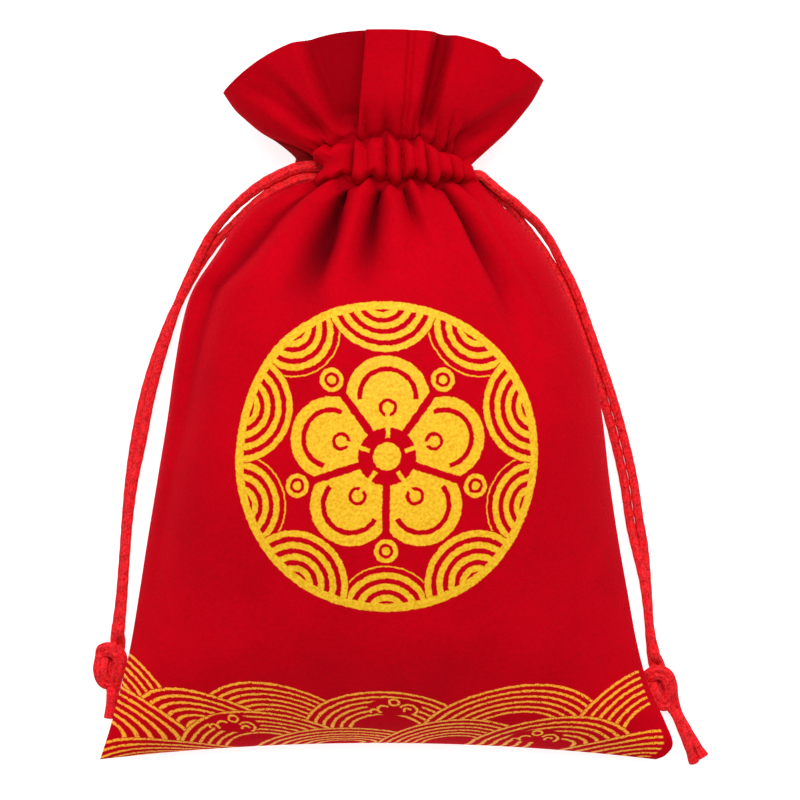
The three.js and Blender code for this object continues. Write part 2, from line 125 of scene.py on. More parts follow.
# Folds that fan out below the channel: sideways place at the stitched row, halfway to the shoulder and at
# the shoulder, depth, and how far each one runs down the pouch.
FRONT_FOLDS = table(
    FOLD_COLUMNS,
    [
        (-14.1, -23.9, -36.2, 4.6, 95.0),
        (-8.5, -10.7, -15.0, 12.0, 36.0),
        (-0.8, -2.4, -4.3, 10.0, 32.0),
        (3.6, 6.4, 9.0, 10.0, 16.0),
        (6.9, 10.4, 14.0, 1.8, 6.0),
        (11.8, 16.8, 23.5, 8.5, 40.0),
        (15.6, 22.0, 30.0, 1.5, 10.0),
    ],
)
# Valleys of the front frill: sideways places of both edges at the stitched row and at the rim, depth at each,
# and how far each edge slopes.
FRONT_FRILL = table(
    FRILL_COLUMNS,
    [
        (-13.0, -29.0, -12.2, -26.5, 4.0, 0.0, 2.6, 2.8),
        (-8.4, -16.2, -6.4, -4.4, 5.0, 6.2, 2.4, 0.7),
        (3.7, 4.9, 3.9, 5.3, 1.4, 1.2, 0.8, 0.8),
        (8.0, 12.0, 8.6, 13.0, 5.6, 5.8, 3.2, 1.0),
        (13.4, 33.0, 14.4, 36.0, 3.6, 0.6, 2.6, 3.0),
    ],
)
# The hidden back has even gathers: creases that fan out by these shares, whose depths and reaches take turns.
BACK_CREASES = np.array([-14.2, -9.6, -5.2, -0.6, 4.2, 8.8, 13.6])
BACK_FAN = {"lower": 1.04, "halfway": 1.5, "shoulder": 2.1, "rim": 1.7}
BACK_CHANNEL_DEPTH = 2.0
BACK_FOLD_DEPTHS = (2.4, 3.2)
BACK_FOLD_REACHES = (20.0, 28.0, 36.0)
# Every second one opens into a valley of the frill: half widths and depths at the stitched row and the rim,
# and how far the left and the right edge slope.
BACK_VALLEY_HALVES = (0.4, 1.0)
BACK_VALLEY_DEPTHS = (2.4, 3.0)
BACK_VALLEY_SLOPES = (3.0, 2.4)
BACK_CHANNEL = table(CHANNEL_COLUMNS, [(x, BACK_FAN["lower"] * x, BACK_CHANNEL_DEPTH) for x in BACK_CREASES])
BACK_FOLDS = table(
    FOLD_COLUMNS,
    [
        (
            x,
            BACK_FAN["halfway"] * x,
            BACK_FAN["shoulder"] * x,
            BACK_FOLD_DEPTHS[turn % 2],
            BACK_FOLD_REACHES[turn % 3],
        )
        for turn, x in enumerate(BACK_CREASES)
    ],
)
BACK_FRILL = table(
    FRILL_COLUMNS,
    [
        (
            x - BACK_VALLEY_HALVES[0],
            BACK_FAN["rim"] * x - BACK_VALLEY_HALVES[1],
            x + BACK_VALLEY_HALVES[0],
            BACK_FAN["rim"] * x + BACK_VALLEY_HALVES[1],
            *BACK_VALLEY_DEPTHS,
            *BACK_VALLEY_SLOPES,
        )
        for x in BACK_CREASES[::2]
    ],
)
# Hills of the printed wave band, back to front: middle across and top up the cloth, half width and height.
WAVE_HILLS = table(
    "middle top wide high",
    [
        (-63.0, 23.4, 22.0, 14.0),
        (-22.3, 26.0, 17.5, 16.0),
        (-37.5, 20.2, 16.0, 9.0),
        (-0.6, 26.1, 16.5, 13.0),
        (25.4, 25.2, 20.0, 15.0),
        (59.0, 22.0, 24.0, 15.0),
        (-62.0, 16.2, 24.0, 11.0),
        (-25.0, 17.7, 17.0, 12.0),
        (-8.0, 13.2, 17.0, 10.0),
        (14.0, 16.6, 15.0, 12.0),
        (33.4, 15.2, 16.5, 10.0),
        (-46.0, 6.4, 19.0, 9.0),
        (54.0, 8.6, 18.0, 8.0),
    ],
)
# The arcs of a hill: the step between them, their thickness, how many, and how far in the first one lies.
WAVE_STEP = 1.4
WAVE_LINE = 0.5
WAVE_ARCS = 6
WAVE_FIRST = 0.4
# Sprays in front of the hills: the place of each pearl, its radius, and the ellipse that is cleared round it.
WAVE_SPRAYS = table("middle top", [(-31.0, 14.6), (1.5, 22.6), (29.6, 10.2)])
SPRAY_PEARL = 0.95
SPRAY_CLEAR = {"wide": 5.4, "high": 2.9, "below": 1.6, "soft": 0.08}
# Open curls of a spray: place beside and below its pearl, radius, and which way each one opens. A curl is
# drawn down to this share of its radius below its middle.
SPRAY_CURLS = table(
    "beside below radius lean",
    [
        (2.6, -2.5, 1.7, 0.9),
        (2.4, -2.7, 0.7, -0.4),
        (-2.2, -2.3, 1.2, -1.4),
        (-4.2, -3.0, 0.7, -0.6),
    ],
)
CURL_CLOSED = 0.3
# How far the printed waves end before the right side seam, and how soft that end is.
WAVE_MARGIN = 2.2
WAVE_MARGIN_SOFT = 0.3
# The printed medallion from its middle outwards: places, radii and half widths of lines. The middles of the
# scallops lie at a share of its radius.
MEDALLION = {
    "heart": 2.7,
    "stamen_start": 3.6,
    "stamen_half": 0.4,
    "eye": 5.6,
    "dot_out": 9.4,
    "dot": 1.1,
    "dot_clear": 1.8,
    "petal_out": 11.5,
    "petal": 8.0,
    "petal_gap": 0.75,
    "vein": 5.4,
    "vein_half": 0.5,
    "vein_start": 11.0,
    "pearl_out": 18.3,
    "pearl": 0.8,
    "pearl_ring": 1.9,
    "pearl_line": 0.42,
    "near_scallop": 11.0,
    "far_scallop": 9.8,
    "scallop_out": 1.04,
    "arc_step": 2.3,
    "arc_start": 0.2,
    "arc_half": 0.62,
    "ring_half": 0.85,
}
PETALS = 5

# Depth of the gathers in the stitched rows themselves, and how far from a row the ridges of the channel, the
# folds of the body and the frill are fully rounded.
PINCH = 3.4
CHANNEL_ROUND = 2.6
FOLD_ROUND = 3.6
FRILL_ROUND = 8.0
# How far up the frill the channel's ridges fade out, and how far up its valleys have their full depth.
RIDGE_FADE = 7.0
VALLEY_START = 5.0
# How far below the channel the folds have turned into soft waves, and how fast they fade over their reach.
SOFTENING = 16.0
FOLD_FADE = 1.5
# Creases stay inside this share of the half width, and all gathers fade out in this angle from the seams.
CREASE_LIMIT = 0.98
SEAM_FADE = 0.4
# Sway of the stitched rows: height, half width of the band that it moves, and a slow and a quick wave.
SWAY = {"height": 0.7, "band": 3.5, "slow": 13, "quick": 29, "quick_share": 0.6}
# How far the rim rises where it is drawn in, as a share of the depth.
RIM_RISE = 0.06
# The lower part falls off to its seams like a pillow: how much more, below which level and over what length.
PILLOW = 0.6
PILLOW_TOP = -10.0
PILLOW_SPAN = 30.0
# Bunched cloth round the channel, in rows of the section table: how far past the stitched rows it begins and
# ends, and in how many rows it grows and shrinks. No wall takes up more than this share of the front's bulge.
BUNCH = {"below": 1.0, "grows": 2.0, "above": 1.5, "shrinks": 2.5}
INSET_LIMIT = 0.8
# Depth at which a fold's painted shade starts, how much deeper it is fully dark, and how much less of it the
# frill gets.
HOLLOW_START = 1.0
HOLLOW_SPAN = 5.0
FRILL_LIGHT = 0.52
# The bend where the back leaves the floor, and the height up to which it is felt.
FLOOR_BEND = 1.2
FLOOR_REACH = 6.0

# Levels of the two cords in the channel, and where they come out of the side seams, across and up.
LEFT_CORD_Y = 47.2
RIGHT_CORD_Y = 44.4
LEFT_SLIT = (-15.2, 45.9)
RIGHT_SLIT = (17.8, 44.4)
# Half height of a slit, how far its edges part, from which angle round the panel, and in what span of it.
SLIT_HALF = 2.9
SLIT_LIFT = 2.5
SLIT_ANGLE = 1.05
SLIT_SPAN = 0.5
# Where the front's left edge is drawn back over the cords: level, half height, how far, and the same angles.
LEFT_TUCK = {"y": 46.8, "half": 4.2, "draw": 3.8, "angle": 0.8, "span": 0.7}
# A fold in the rim on the right, where the back stands up beside a notch of the front. For the front, 1, and
# the back, -1: place across, half width and height.
RIM_FOLD = {1: (22.9, 2.1, -1.0), -1: (21.4, 2.1, 2.1)}

# Middle line of each pair of strands: how far it is lifted off the floor, how far the pair has turned about
# itself, and how far apart its strands are. At a turn of 90 one strand lies above the other.
STRAND_COLUMNS = "x y lift twist spacing"
LEFT_ROUTE = table(
    STRAND_COLUMNS,
    [
        (-12.0, 45.3, 12.0, 160, 2.3),
        (-14.0, 45.3, 12.0, 160, 2.3),
        (-16.2, 45.3, 12.0, 160, 2.3),
        (-18.2, 44.8, 12.0, 162, 2.3),
        (-20.7, 43.7, 11.8, 164, 2.3),
        (-23.3, 42.4, 11.0, 166, 2.3),
        (-25.9, 40.7, 9.7, 166, 2.4),
        (-28.7, 38.5, 7.8, 166, 2.45),
        (-30.8, 36.6, 6.0, 164, 2.4),
        (-32.7, 34.7, 4.4, 158, 2.25),
        (-34.9, 32.2, 2.9, 147, 1.9),
        (-37.5, 28.2, 1.2, 118, 1.9),
        (-39.7, 24.2, 0.3, 102, 1.9),
        (-41.7, 20.1, 0.0, 90, 1.9),
        (-43.4, 16.1, 0.0, 74, 1.9),
        (-46.2, 8.0, 0.0, 53, 1.9),
        (-48.4, 0.0, 0.0, 42, 1.9),
        (-50.0, -8.1, 0.0, 38, 1.9),
        (-51.4, -16.2, 0.0, 60, 1.9),
        (-52.3, -24.3, 0.0, 73, 1.9),
        (-52.9, -32.4, 0.0, 75, 1.9),
        (-53.5, -40.5, 0.0, 70, 1.9),
        (-54.2, -47.2, 0.5, 58, 1.9),
    ],
)
RIGHT_ROUTE = table(
    STRAND_COLUMNS,
    [
        (15.6, 44.4, 11.9, 72, 1.9),
        (17.2, 44.4, 11.9, 72, 1.9),
        (18.7, 44.3, 11.9, 72, 1.9),
        (20.5, 42.8, 11.8, 71, 1.9),
        (23.1, 40.6, 10.8, 66, 1.9),
        (25.4, 38.8, 9.4, 54, 1.9),
        (27.7, 36.3, 7.7, 34, 2.25),
        (29.5, 34.5, 6.2, 12, 2.35),
        (31.1, 32.5, 4.6, 4, 2.35),
        (32.5, 30.6, 3.4, 6, 2.25),
        (34.6, 27.0, 1.7, 14, 1.9),
        (36.6, 23.4, 0.7, 20, 1.9),
        (38.3, 19.4, 0.2, 22, 1.9),
        (39.7, 15.4, 0.0, 22, 1.9),
        (42.5, 7.4, 0.0, 20, 1.9),
        (45.1, -0.6, 0.0, 12, 1.9),
        (47.3, -8.6, 0.0, 4, 1.9),
        (49.0, -16.2, 0.0, 0, 1.9),
        (50.2, -24.3, 0.0, -4, 1.9),
        (51.0, -28.4, 0.0, -18, 1.9),
        (51.7, -32.4, 0.0, -46, 1.9),
        (52.3, -36.4, 0.0, -68, 1.9),
        (52.8, -41.0, 0.0, -80, 1.9),
        (53.3, -47.0, 0.1, -92, 1.9),
        (54.0, -51.6, 0.6, -112, 1.9),
    ],
)
# Gap between the lowest strands and the floor.
FLOOR_CLEAR = 0.1
# How much thicker the braid is where it comes out of the channel, and over what length it draws in again.
LOOSE_BRAID = {"left": 0.2, "right": 0.0}
LOOSE_LENGTH = 12.0
# The hidden loops: how far inside the neck they run, the angle from the slit where they start, and the gap to
# the ends of the strands.
LOOP_INSET = 5.4
LOOP_START = 26
LOOP_GAP = 0.3

# An overhand knot as the middle line of two strands side by side: across, along the cord and up.
KNOT_PATH = np.array(
    [
        (1.3, -5.0, 1.2),
        (1.2, -3.6, 1.2),
        (0.5, -1.8, 1.5),
        (0.1, 0.2, 2.0),
        (0.0, 2.0, 1.7),
        (-0.4, 3.3, 1.7),
        (-1.2, 3.1, 2.4),
        (-1.8, 1.9, 3.0),
        (-1.95, 0.4, 3.3),
        (-1.75, -1.1, 3.0),
        (-1.6, -2.2, 2.5),
        (-1.6, -2.8, 2.8),
        (-0.7, -3.2, 3.5),
        (0.5, -3.1, 3.9),
        (1.5, -2.4, 3.8),
        (1.95, -1.2, 3.5),
        (1.7, 0.4, 3.2),
        (1.15, 2.0, 2.6),
        (0.7, 3.4, 1.8),
        (0.5, 4.6, 1.25),
    ]
)
# How far apart the middles of the two strands are in the knot.
KNOT_STRAND_GAP = 1.2
# Points at the end of a strand that lead into its knot, and the share of the radius left in the tied knot.
KNOT_ENTRY = [-9, -1]
KNOT_TIGHT = 0.99
# The two tails leave a knot almost one above the other, this far apart, and spread faster towards their ends.
# Their points start a little way down, so that the bend out of the knot is smooth.
TAIL_GAP = 0.5
TAIL_SPREAD_POWER = 1.5
TAIL_START = 0.15
TAIL_POINTS = 8
# How much wider a tail is at its cut end, and over what length it widens.
TAIL_FLARE = 0.2
TAIL_FLARE_LENGTH = 2.2
# Where each knot lies, which way it points, how far its tails reach and how far they spread.
KNOTS = {
    "left": {"x": -55.6, "y": -53.6, "heading": -91, "tail": 10.6, "spread": 1.2},
    "right": {"x": 55.5, "y": -58.0, "heading": -64, "tail": 16.6, "spread": 2.2},
}

# How finely the grids and tubes are divided.
ROWS_PER_SECTION = 8
FRONT_COLUMNS = 217
BACK_COLUMNS = 169
STRAND_SIDES = 20
STRAND_STEPS = 24
KNOT_STEPS = 8
LOOP_POINTS = 49
LOOP_STEPS = 4
# Spirals of the braid in each direction.
BRAID_TURNS = 4
# Nearly straight up: a direction that no strand runs in.
NEARLY_UP = (0.03, 0.05, 1.0)

# Looks: widths of the patches of noise, and how strongly they show.
VELVET = {"patches": 14, "flecks": 0.9, "pile": 0.45, "patch_weight": 1.5, "base": 0.35, "fleck_weight": 1.3}
RAGGED = {"size": 0.9, "stray": 0.55}
HOLES = {"size": 0.34, "level": 0.36, "soft": 0.12}
PITS = {"size": 0.6, "contrast": 2.6}
KNIT = {"rib": 0.7, "row": 0.9, "shade": 0.6}
# The satin's colour: painted shade in the low parts of its weave mixed with random flecks, and painted glints
# where flecks and threads are brightest.
SATIN = {"flecks": 0.5, "weave_weight": 0.4, "base": 0.64, "fleck_weight": 1.2}
THREADS = {"count": 6, "lead": 4, "height": 0.12}
PAINTED_GLINTS = {"fleck_share": 0.6, "thread_share": 0.4, "level": 0.62, "soft": 0.14, "weight": 0.7}
FLOOR_GRAIN = 6.0
FLOOR_SHADE = 0.985

# The floor's half width and level, and the camera's sensor in millimetres and nearest distance in metres.
FLOOR_HALF = 2500.0
FLOOR_LEVEL = -0.2
SENSOR_WIDTH = 36.0
NEAREST = 0.01


def size_setting(name, description, default):
    """A length in metres that a user can change."""
    return FloatProperty(
        name=name,
        description=description,
        default=default,
        subtype="DISTANCE",
        unit="LENGTH",
    )


def color_setting(name, description, default):
    """A colour that a user can change."""
    return FloatVectorProperty(name=name, description=description, default=default, subtype="COLOR", size=3)


class PouchCloth(PropertyGroup):
    """Cloth of the two panels."""

    wall: size_setting("Cloth", "Thickness of the velvet", 0.0012)
    channel: size_setting("Channel", "Thickness of the bunched cloth round the drawstring", 0.0072)
    gather: FloatProperty(
        name="Gather",
        description="Depth of all folds, as a share of their own",
        default=1.0,
        min=0.0,
        max=1.3,
    )
    flat_width: size_setting("Flat width", "Width of one panel as cut", 0.115)
    flat_length: size_setting("Flat length", "Length of one panel as cut, without what is turned in", 0.160)
    color: color_setting("Velvet", "Colour of the pile", (0.56, 0.0002, 0.007))
    deep_color: color_setting("Deep velvet", "Colour where the pile leans away", (0.44, 0.0002, 0.006))
    # Painted shade: the colour that the pile is darkened to in deep folds.
    fold_shade_color: color_setting(
        "Folded velvet", "Colour of the pile that is pressed together in the folds", (0.11, 0.0001, 0.0025)
    )
    sheen: FloatProperty(
        name="Sheen",
        description="Strength of the pile's edge glow",
        default=0.35,
        subtype="FACTOR",
    )


class PouchPrint(PropertyGroup):
    """Gold print of the front."""

    gold: color_setting("Gold", "Colour of the medallion", (0.94, 0.57, 0.024))
    wave_gold: color_setting("Wave gold", "Colour of the wave band", (1.0, 0.44, 0.03))
    dull_gold: color_setting("Dull gold", "Specks in the medallion", (0.70, 0.34, 0.002))
    dull_wave_gold: color_setting("Dull wave gold", "Specks in the waves", (0.95, 0.38, 0.02))
    medallion_x: size_setting("Medallion across", "Middle of the medallion", 0.0007)
    medallion_y: size_setting("Medallion up", "Middle of the medallion", -0.0109)
    medallion_radius: size_setting("Medallion radius", "Middle of the medallion's ring", 0.0298)


class PouchCord(PropertyGroup):
    """Satin cords."""

    diameter: size_setting("Cord", "Diameter of one strand", 0.0020)
    braid: FloatProperty(
        name="Braid",
        description="Height of the braid, as a share of the radius",
        default=0.1,
        subtype="FACTOR",
    )
    pitch: size_setting("Braid pitch", "Length of one turn of the braid", 0.0062)
    color: color_setting("Satin", "Colour of the cord", (0.80, 0.002, 0.008))
    # Painted shade: the colour of the low parts between the threads of the braid, mixed in together with
    # random flecks.
    deep_color: color_setting("Deep satin", "Colour between the threads", (0.38, 0.001, 0.004))
    # Painted highlight: the colour that the brightest flecks and threads of the satin are painted with.
    painted_glint_color: color_setting("Glints", "Colour of bright threads", (1.0, 0.08, 0.09))


class PouchStage(PropertyGroup):
    """Camera, floor and light."""

    camera: FloatVectorProperty(
        name="Camera",
        description="Place of the camera, which looks straight down",
        default=(0.0028, -0.00005, 0.810),
        subtype="TRANSLATION",
        size=3,
    )
    lens: FloatProperty(name="Lens", description="Focal length in millimetres", default=180.0)
    floor_color: color_setting("Floor", "Colour of the floor", (0.55, 0.55, 0.55))
    key: FloatProperty(
        name="Key light",
        description="Power of the large soft light",
        default=21.5,
        unit="POWER",
    )
    key_size: size_setting("Key size", "Width of the large soft light", 1.1)
    key_place: FloatVectorProperty(
        name="Key place",
        description="Place of the large soft light",
        default=(0.04, 0.72, 1.28),
        subtype="TRANSLATION",
        size=3,
    )
    key_turn: FloatVectorProperty(
        name="Key turn",
        description="Turn of the large soft light from straight down",
        default=(-0.5, 0.03, 0.0),
        subtype="EULER",
        size=3,
    )
    sky: FloatProperty(name="Sky", description="Strength of the even light from all sides", default=0.46)


# Shapes


def along(values, place):
    """A smooth curve through values at fractional row numbers: a cubic from the two rows on each side."""
    last = len(values) - 1
    row = np.clip(np.floor(place).astype(int), 0, last - 1)
    part = place - row
    if values.ndim > 1:
        part = part[:, None]
    before, start, end, after = (values[np.clip(row + step, 0, last)] for step in (-1, 0, 1, 2))
    bend = 2 * before - 5 * start + 4 * end - after + part * (3 * (start - end) + after - before)
    return start + 0.5 * part * (end - before + part * bend)


def ramp(value):
    """0 below 0, 1 above 1, and an S curve between."""
    value = np.clip(value, 0, 1)
    return value * value * (3 - 2 * value)


def plateau(value):
    """1 near 0, and quickly down to 0 beyond -1 and 1."""
    return np.exp(-(value**4))


def round_end(distance, radius):
    """The height of a quarter circle that starts at a stitched row, as a share of its radius."""
    return np.sqrt(1 - (1 - np.clip(distance / radius, 0, 1)) ** 2)


def ridge_drop(where, distance, radius):
    """How far a ridge's round top has dropped, from 0 to 1: across to its creases and along to its end."""
    end = 1 - np.clip(distance / radius, 0, 1)
    return 1 - np.sqrt(1 - np.minimum(where**2 + end**2, 1))


def unit(vectors):
    """Vectors scaled to length 1."""
    return vectors / np.linalg.norm(vectors, axis=-1, keepdims=True)


def section_rows():
    """Each grid row's place in the section table, and the smooth section there, as columns of numbers."""
    place = np.linspace(0, RIM_ROW, RIM_ROW * ROWS_PER_SECTION + 1)
    rows = {name: along(values, place)[:, None] for name, values in SECTIONS.items()}
    rows["middle"] = (rows["left"] + rows["right"]) / 2
    rows["half"] = (rows["right"] - rows["left"]) / 2
    return place[:, None], rows


def between_creases(angle, creases, depths):
    """Where each point lies between its neighbouring creases, from -1 to 1, and the depth between theirs.

    creases and depths hold one row for each grid row. The side seams count as creases of no depth.
    """
    seam = np.full((len(creases), 1), np.pi / 2)
    edges = np.concatenate([-seam, creases, seam], axis=1)
    level = np.concatenate([0 * seam, depths, 0 * seam], axis=1)
    left = (angle[:, :, None] >= edges[:, None, 1:-1]).sum(axis=2)
    start = np.take_along_axis(edges, left, axis=1)
    end = np.take_along_axis(edges, left + 1, axis=1)
    share = np.clip((angle - start) / np.maximum(end - start, 1e-6), 0, 1)
    start_depth = np.take_along_axis(level, left, axis=1)
    end_depth = np.take_along_axis(level, left + 1, axis=1)
    return 2 * share - 1, start_depth * (1 - share) + end_depth * share


def fold_angles(lower, upper, share, rows):
    """Angles round the panel, per grid row, of lines from their lower to their upper sideways places."""
    x = lower + (upper - lower) * share
    across = np.clip((x - rows["middle"]) / rows["half"], -CREASE_LIMIT, CREASE_LIMIT)
    return np.sort(np.arcsin(across), axis=1)


def fold_lines(folds, rows):
    """Angles round the panel, per grid row, of the body's folds: through three places, then straight on."""
    known = [SHOULDER_ROW, HALFWAY_ROW, LOWER_STITCH_ROW]
    places = np.stack([folds["shoulder"], folds["halfway"], folds["neck"]])
    level = rows["y"][:, 0]
    x = np.stack([np.interp(level, SECTIONS["y"][known], fold) for fold in places.T], axis=1)
    angles = fold_angles(x, x, 0, rows)
    shoulder = SHOULDER_ROW * ROWS_PER_SECTION
    angles[:shoulder] = angles[shoulder]
    return angles


def gathers(place, angle, rows, channel, folds, frill):
    """How deep the cloth is drawn in at each point, in three zones that meet in the two stitched rows.

    Channel: ridges of circular section between creases, with ends rounded towards the stitched rows. Body:
    folds that start as such ridges, turn into soft waves and fade over their reach. Frill: flat valleys with
    sloping edges, over short pleats that carry on from the channel.
    """
    y = rows["y"]
    lower_y = SECTIONS["y"][LOWER_STITCH_ROW]
    upper_y = SECTIONS["y"][UPPER_STITCH_ROW]
    rim_y = SECTIONS["y"][RIM_ROW]

    share = np.clip((y - lower_y) / (upper_y - lower_y), 0, 1)
    creases = fold_angles(channel["lower"], channel["upper"], share, rows)
    from_stitch = np.maximum(np.minimum(y - lower_y, upper_y - y), 0)
    depths = PINCH + (channel["depth"] - PINCH) * ramp(from_stitch / CHANNEL_ROUND)
    where, depth = between_creases(angle, creases, depths)
    level = PINCH + (depth - PINCH) * ramp(from_stitch / CHANNEL_ROUND)
    channel_dent = level * ridge_drop(where, from_stitch, CHANNEL_ROUND)
    ridges = depth * ridge_drop(where, np.inf, 1)

    down = np.maximum(lower_y - y, 0)
    run = down / folds["reach"]
    depths = PINCH + (folds["depth"] - PINCH) * ramp(down / FOLD_ROUND)
    depths = depths * (1 - np.minimum(run, 1)) ** FOLD_FADE
    where, depth = between_creases(angle, fold_lines(folds, rows), depths)
    level = PINCH + (depth - PINCH) * ramp(down / FOLD_ROUND)
    tight = ridge_drop(where, down, FOLD_ROUND)
    soft = 0.5 - 0.5 * np.cos(np.pi * where)
    softness = ramp(down / SOFTENING)
    body_dent = level * (tight * (1 - softness) + soft * softness)

    up = np.maximum(y - upper_y, 0)
    share = up / (rim_y - upper_y)
    pleats = ridges * (1 - ramp(up / RIDGE_FADE))
    cap = round_end(up, FRILL_ROUND)
    frill_dent = PINCH * (1 - cap) + pleats * cap
    x = rows["middle"] + rows["half"] * np.sin(angle)
    ends = (("left_neck", "left_rim"), ("right_neck", "right_rim"), ("neck_depth", "rim_depth"))
    for valley in range(len(frill["neck_depth"])):
        left, right, depth = (
            frill[neck][valley] + (frill[rim][valley] - frill[neck][valley]) * share for neck, rim in ends
        )
        falls = ramp((x - left) / frill["left_slope"][valley] + 1)
        rises = ramp((right - x) / frill["right_slope"][valley] + 1)
        frill_dent = frill_dent + depth * falls * rises * ramp(up / VALLEY_START)

    dent = np.where(place > UPPER_STITCH_ROW, frill_dent, channel_dent)
    dent = np.where(place < LOWER_STITCH_ROW, body_dent, dent)
    return dent * ramp((np.pi / 2 - np.abs(angle)) / SEAM_FADE)


def panel_points(place, angle, rows, depth, side):
    """Points of a panel: half an ellipse from seam to seam at each section, drawn in along its normal.

    depth says how far, and side is 1 for the front and -1 for the back. The ends of a section bow towards the
    bottom, the edges part round the cords, and the rim has a fold. No point passes the seam's level.
    """
    bulge = rows["front"] if side > 0 else rows["back"]
    across = np.sin(angle)
    out = np.cos(angle)
    flatter = PILLOW * ramp((PILLOW_TOP - rows["y"]) / PILLOW_SPAN)
    height = np.maximum(out, 0) ** (1 + flatter)
    normal = unit(np.stack([bulge * across, rows["half"] * out + 0 * bulge], axis=-1) + [0, 1e-6])
    power = BOTTOM_BOW_POWER + (RIM_BOW_POWER - BOTTOM_BOW_POWER) * place / RIM_ROW
    bow = np.where(angle < 0, rows["bow_left"], rows["bow_right"])
    x = rows["middle"] + rows["half"] * across - depth * normal[..., 0]
    y = rows["y"] + bow * np.abs(across) ** power
    for stitch_row in (LOWER_STITCH_ROW, UPPER_STITCH_ROW):
        near = np.exp(-(((rows["y"] - SECTIONS["y"][stitch_row]) / SWAY["band"]) ** 2))
        wave = np.sin(SWAY["slow"] * angle + stitch_row) + SWAY["quick_share"] * np.sin(SWAY["quick"] * angle)
        y = y + SWAY["height"] * near * out * wave
    y = y + RIM_RISE * depth * ramp((place - UPPER_STITCH_ROW) / (RIM_ROW - UPPER_STITCH_ROW))
    z = np.maximum(bulge * height - depth * normal[..., 1], 0)
    slit_y = np.where(angle < 0, LEFT_SLIT[1], RIGHT_SLIT[1])
    parted = plateau((y - slit_y) / SLIT_HALF) * ramp((np.abs(angle) - SLIT_ANGLE) / SLIT_SPAN)
    z = z + SLIT_LIFT * parted
    if side > 0:
        near_edge = ramp((-angle - LEFT_TUCK["angle"]) / LEFT_TUCK["span"])
        x = x + LEFT_TUCK["draw"] * plateau((y - LEFT_TUCK["y"]) / LEFT_TUCK["half"]) * near_edge
    middle, half, high = RIM_FOLD[side]
    y = y + high * plateau((x - middle) / half) * ramp(place - RIM_ROW + 1)
    return np.stack([x, y, rows["seam"] + side * z], axis=-1)


def rest_on_floor(points):
    """The same points with all that would sink below the floor laid flat on it, round a soft bend."""
    lifted = points.copy()
    lifted[..., 2] = 0.5 * (points[..., 2] + np.sqrt(points[..., 2] ** 2 + FLOOR_BEND**2))
    return np.where(points[..., 2:] < FLOOR_REACH, lifted, points)


def cloth_lengths(points):
    """Lengths over the cloth: across from the middle column, and up from the bottom seam."""
    across = np.linalg.norm(np.diff(points, axis=1), axis=2)
    across = np.concatenate([np.zeros((len(points), 1)), np.cumsum(across, axis=1)], axis=1)
    across = across - across[:, points.shape[1] // 2][:, None]
    up = np.linalg.norm(np.diff(points, axis=0), axis=2)
    up = np.concatenate([np.zeros((1, points.shape[1])), np.cumsum(up, axis=0)], axis=0)
    return np.stack([across, up], axis=-1)


def squares(numbers):
    """The corner numbers of each square of a grid of vertex numbers."""
    corners = [numbers[:-1, :-1], numbers[:-1, 1:], numbers[1:, 1:], numbers[1:, :-1]]
    return np.stack(corners, axis=-1).reshape(-1, 4)


def panel_mesh(name, side, columns, cloth, folds, materials):
    """A panel as a closed wall: its outer grid, and an inner grid that shares the bottom seam with it.

    Returns the piece, the points of the outer grid and their lengths over the cloth.
    """
    place, rows = section_rows()
    angle = np.broadcast_to(np.linspace(-np.pi / 2, np.pi / 2, columns), (len(place), columns))
    dent = cloth.gather * gathers(place, angle, rows, *folds)
    outer = panel_points(place, angle, rows, dent, side)
    grows = ramp((place - LOWER_STITCH_ROW + BUNCH["below"]) / BUNCH["grows"])
    thick = grows * ramp((UPPER_STITCH_ROW + BUNCH["above"] - place) / BUNCH["shrinks"])
    wall = cloth.wall / MM
    inset = (dent + wall) * (1 - thick) + cloth.channel / MM * thick
    inner = panel_points(place, angle, rows, np.minimum(inset, INSET_LIMIT * rows["front"]), side)
    if side < 0:
        outer = rest_on_floor(outer)
        inner = rest_on_floor(inner - [0, 0, wall]) + [0, 0, wall]

    count = outer[..., 0].size
    outside = np.arange(count).reshape(outer.shape[:2])
    inside = np.concatenate([outside[:1], count + np.arange(count - columns).reshape(-1, columns)])
    points = np.concatenate([outer.reshape(-1, 3), inner[1:].reshape(-1, 3)])
    places = cloth_lengths(outer)
    lengths = np.concatenate([places.reshape(-1, 2), places[1:].reshape(-1, 2)])
    turned_in = int((UPPER_STITCH_ROW - 1) * ROWS_PER_SECTION)
    last = columns - 1
    blocks = [
        (squares(outside), 0),
        (squares(inside[turned_in:])[:, ::-1], 1),
        (squares(inside[: turned_in + 1])[:, ::-1], 2),
        (squares(np.stack([outside[-1], inside[-1]])), 1),
        (squares(np.stack([inside[1:, 0], outside[1:, 0]], axis=1)), 2),
        (squares(np.stack([outside[1:, last], inside[1:, last]], axis=1)), 2),
        (np.array([[outside[0, 0], outside[1, 0], inside[1, 0]]]), 2),
        (np.array([[outside[1, last], outside[0, last], inside[1, last]]]), 2),
    ]
    if side < 0:
        blocks = [(corners[:, ::-1], material) for corners, material in blocks]
    uv_blocks = [lengths[corners] for corners, material in blocks]
    piece = make_piece(name, points, blocks, uv_blocks, materials)
    # Painted shade of the folds at each point: more the deeper its fold, less in the frill.
    painted_fold_shade = ramp((dent - HOLLOW_START) / HOLLOW_SPAN)
    numbers = {
        "painted_fold_shade": painted_fold_shade * (1 - FRILL_LIGHT * ramp(place - UPPER_STITCH_ROW)),
        "level": np.broadcast_to(places[:, columns // 2, 1][:, None], dent.shape),
        "margin": places[:, -1:, 0] - places[..., 0],
    }
    for label, value in numbers.items():
        value = np.concatenate([value.ravel(), value[1:].ravel()]).astype(np.float32)
        piece.data.attributes.new(label, "FLOAT", "POINT").data.foreach_set("value", value)
    return piece, outer, places


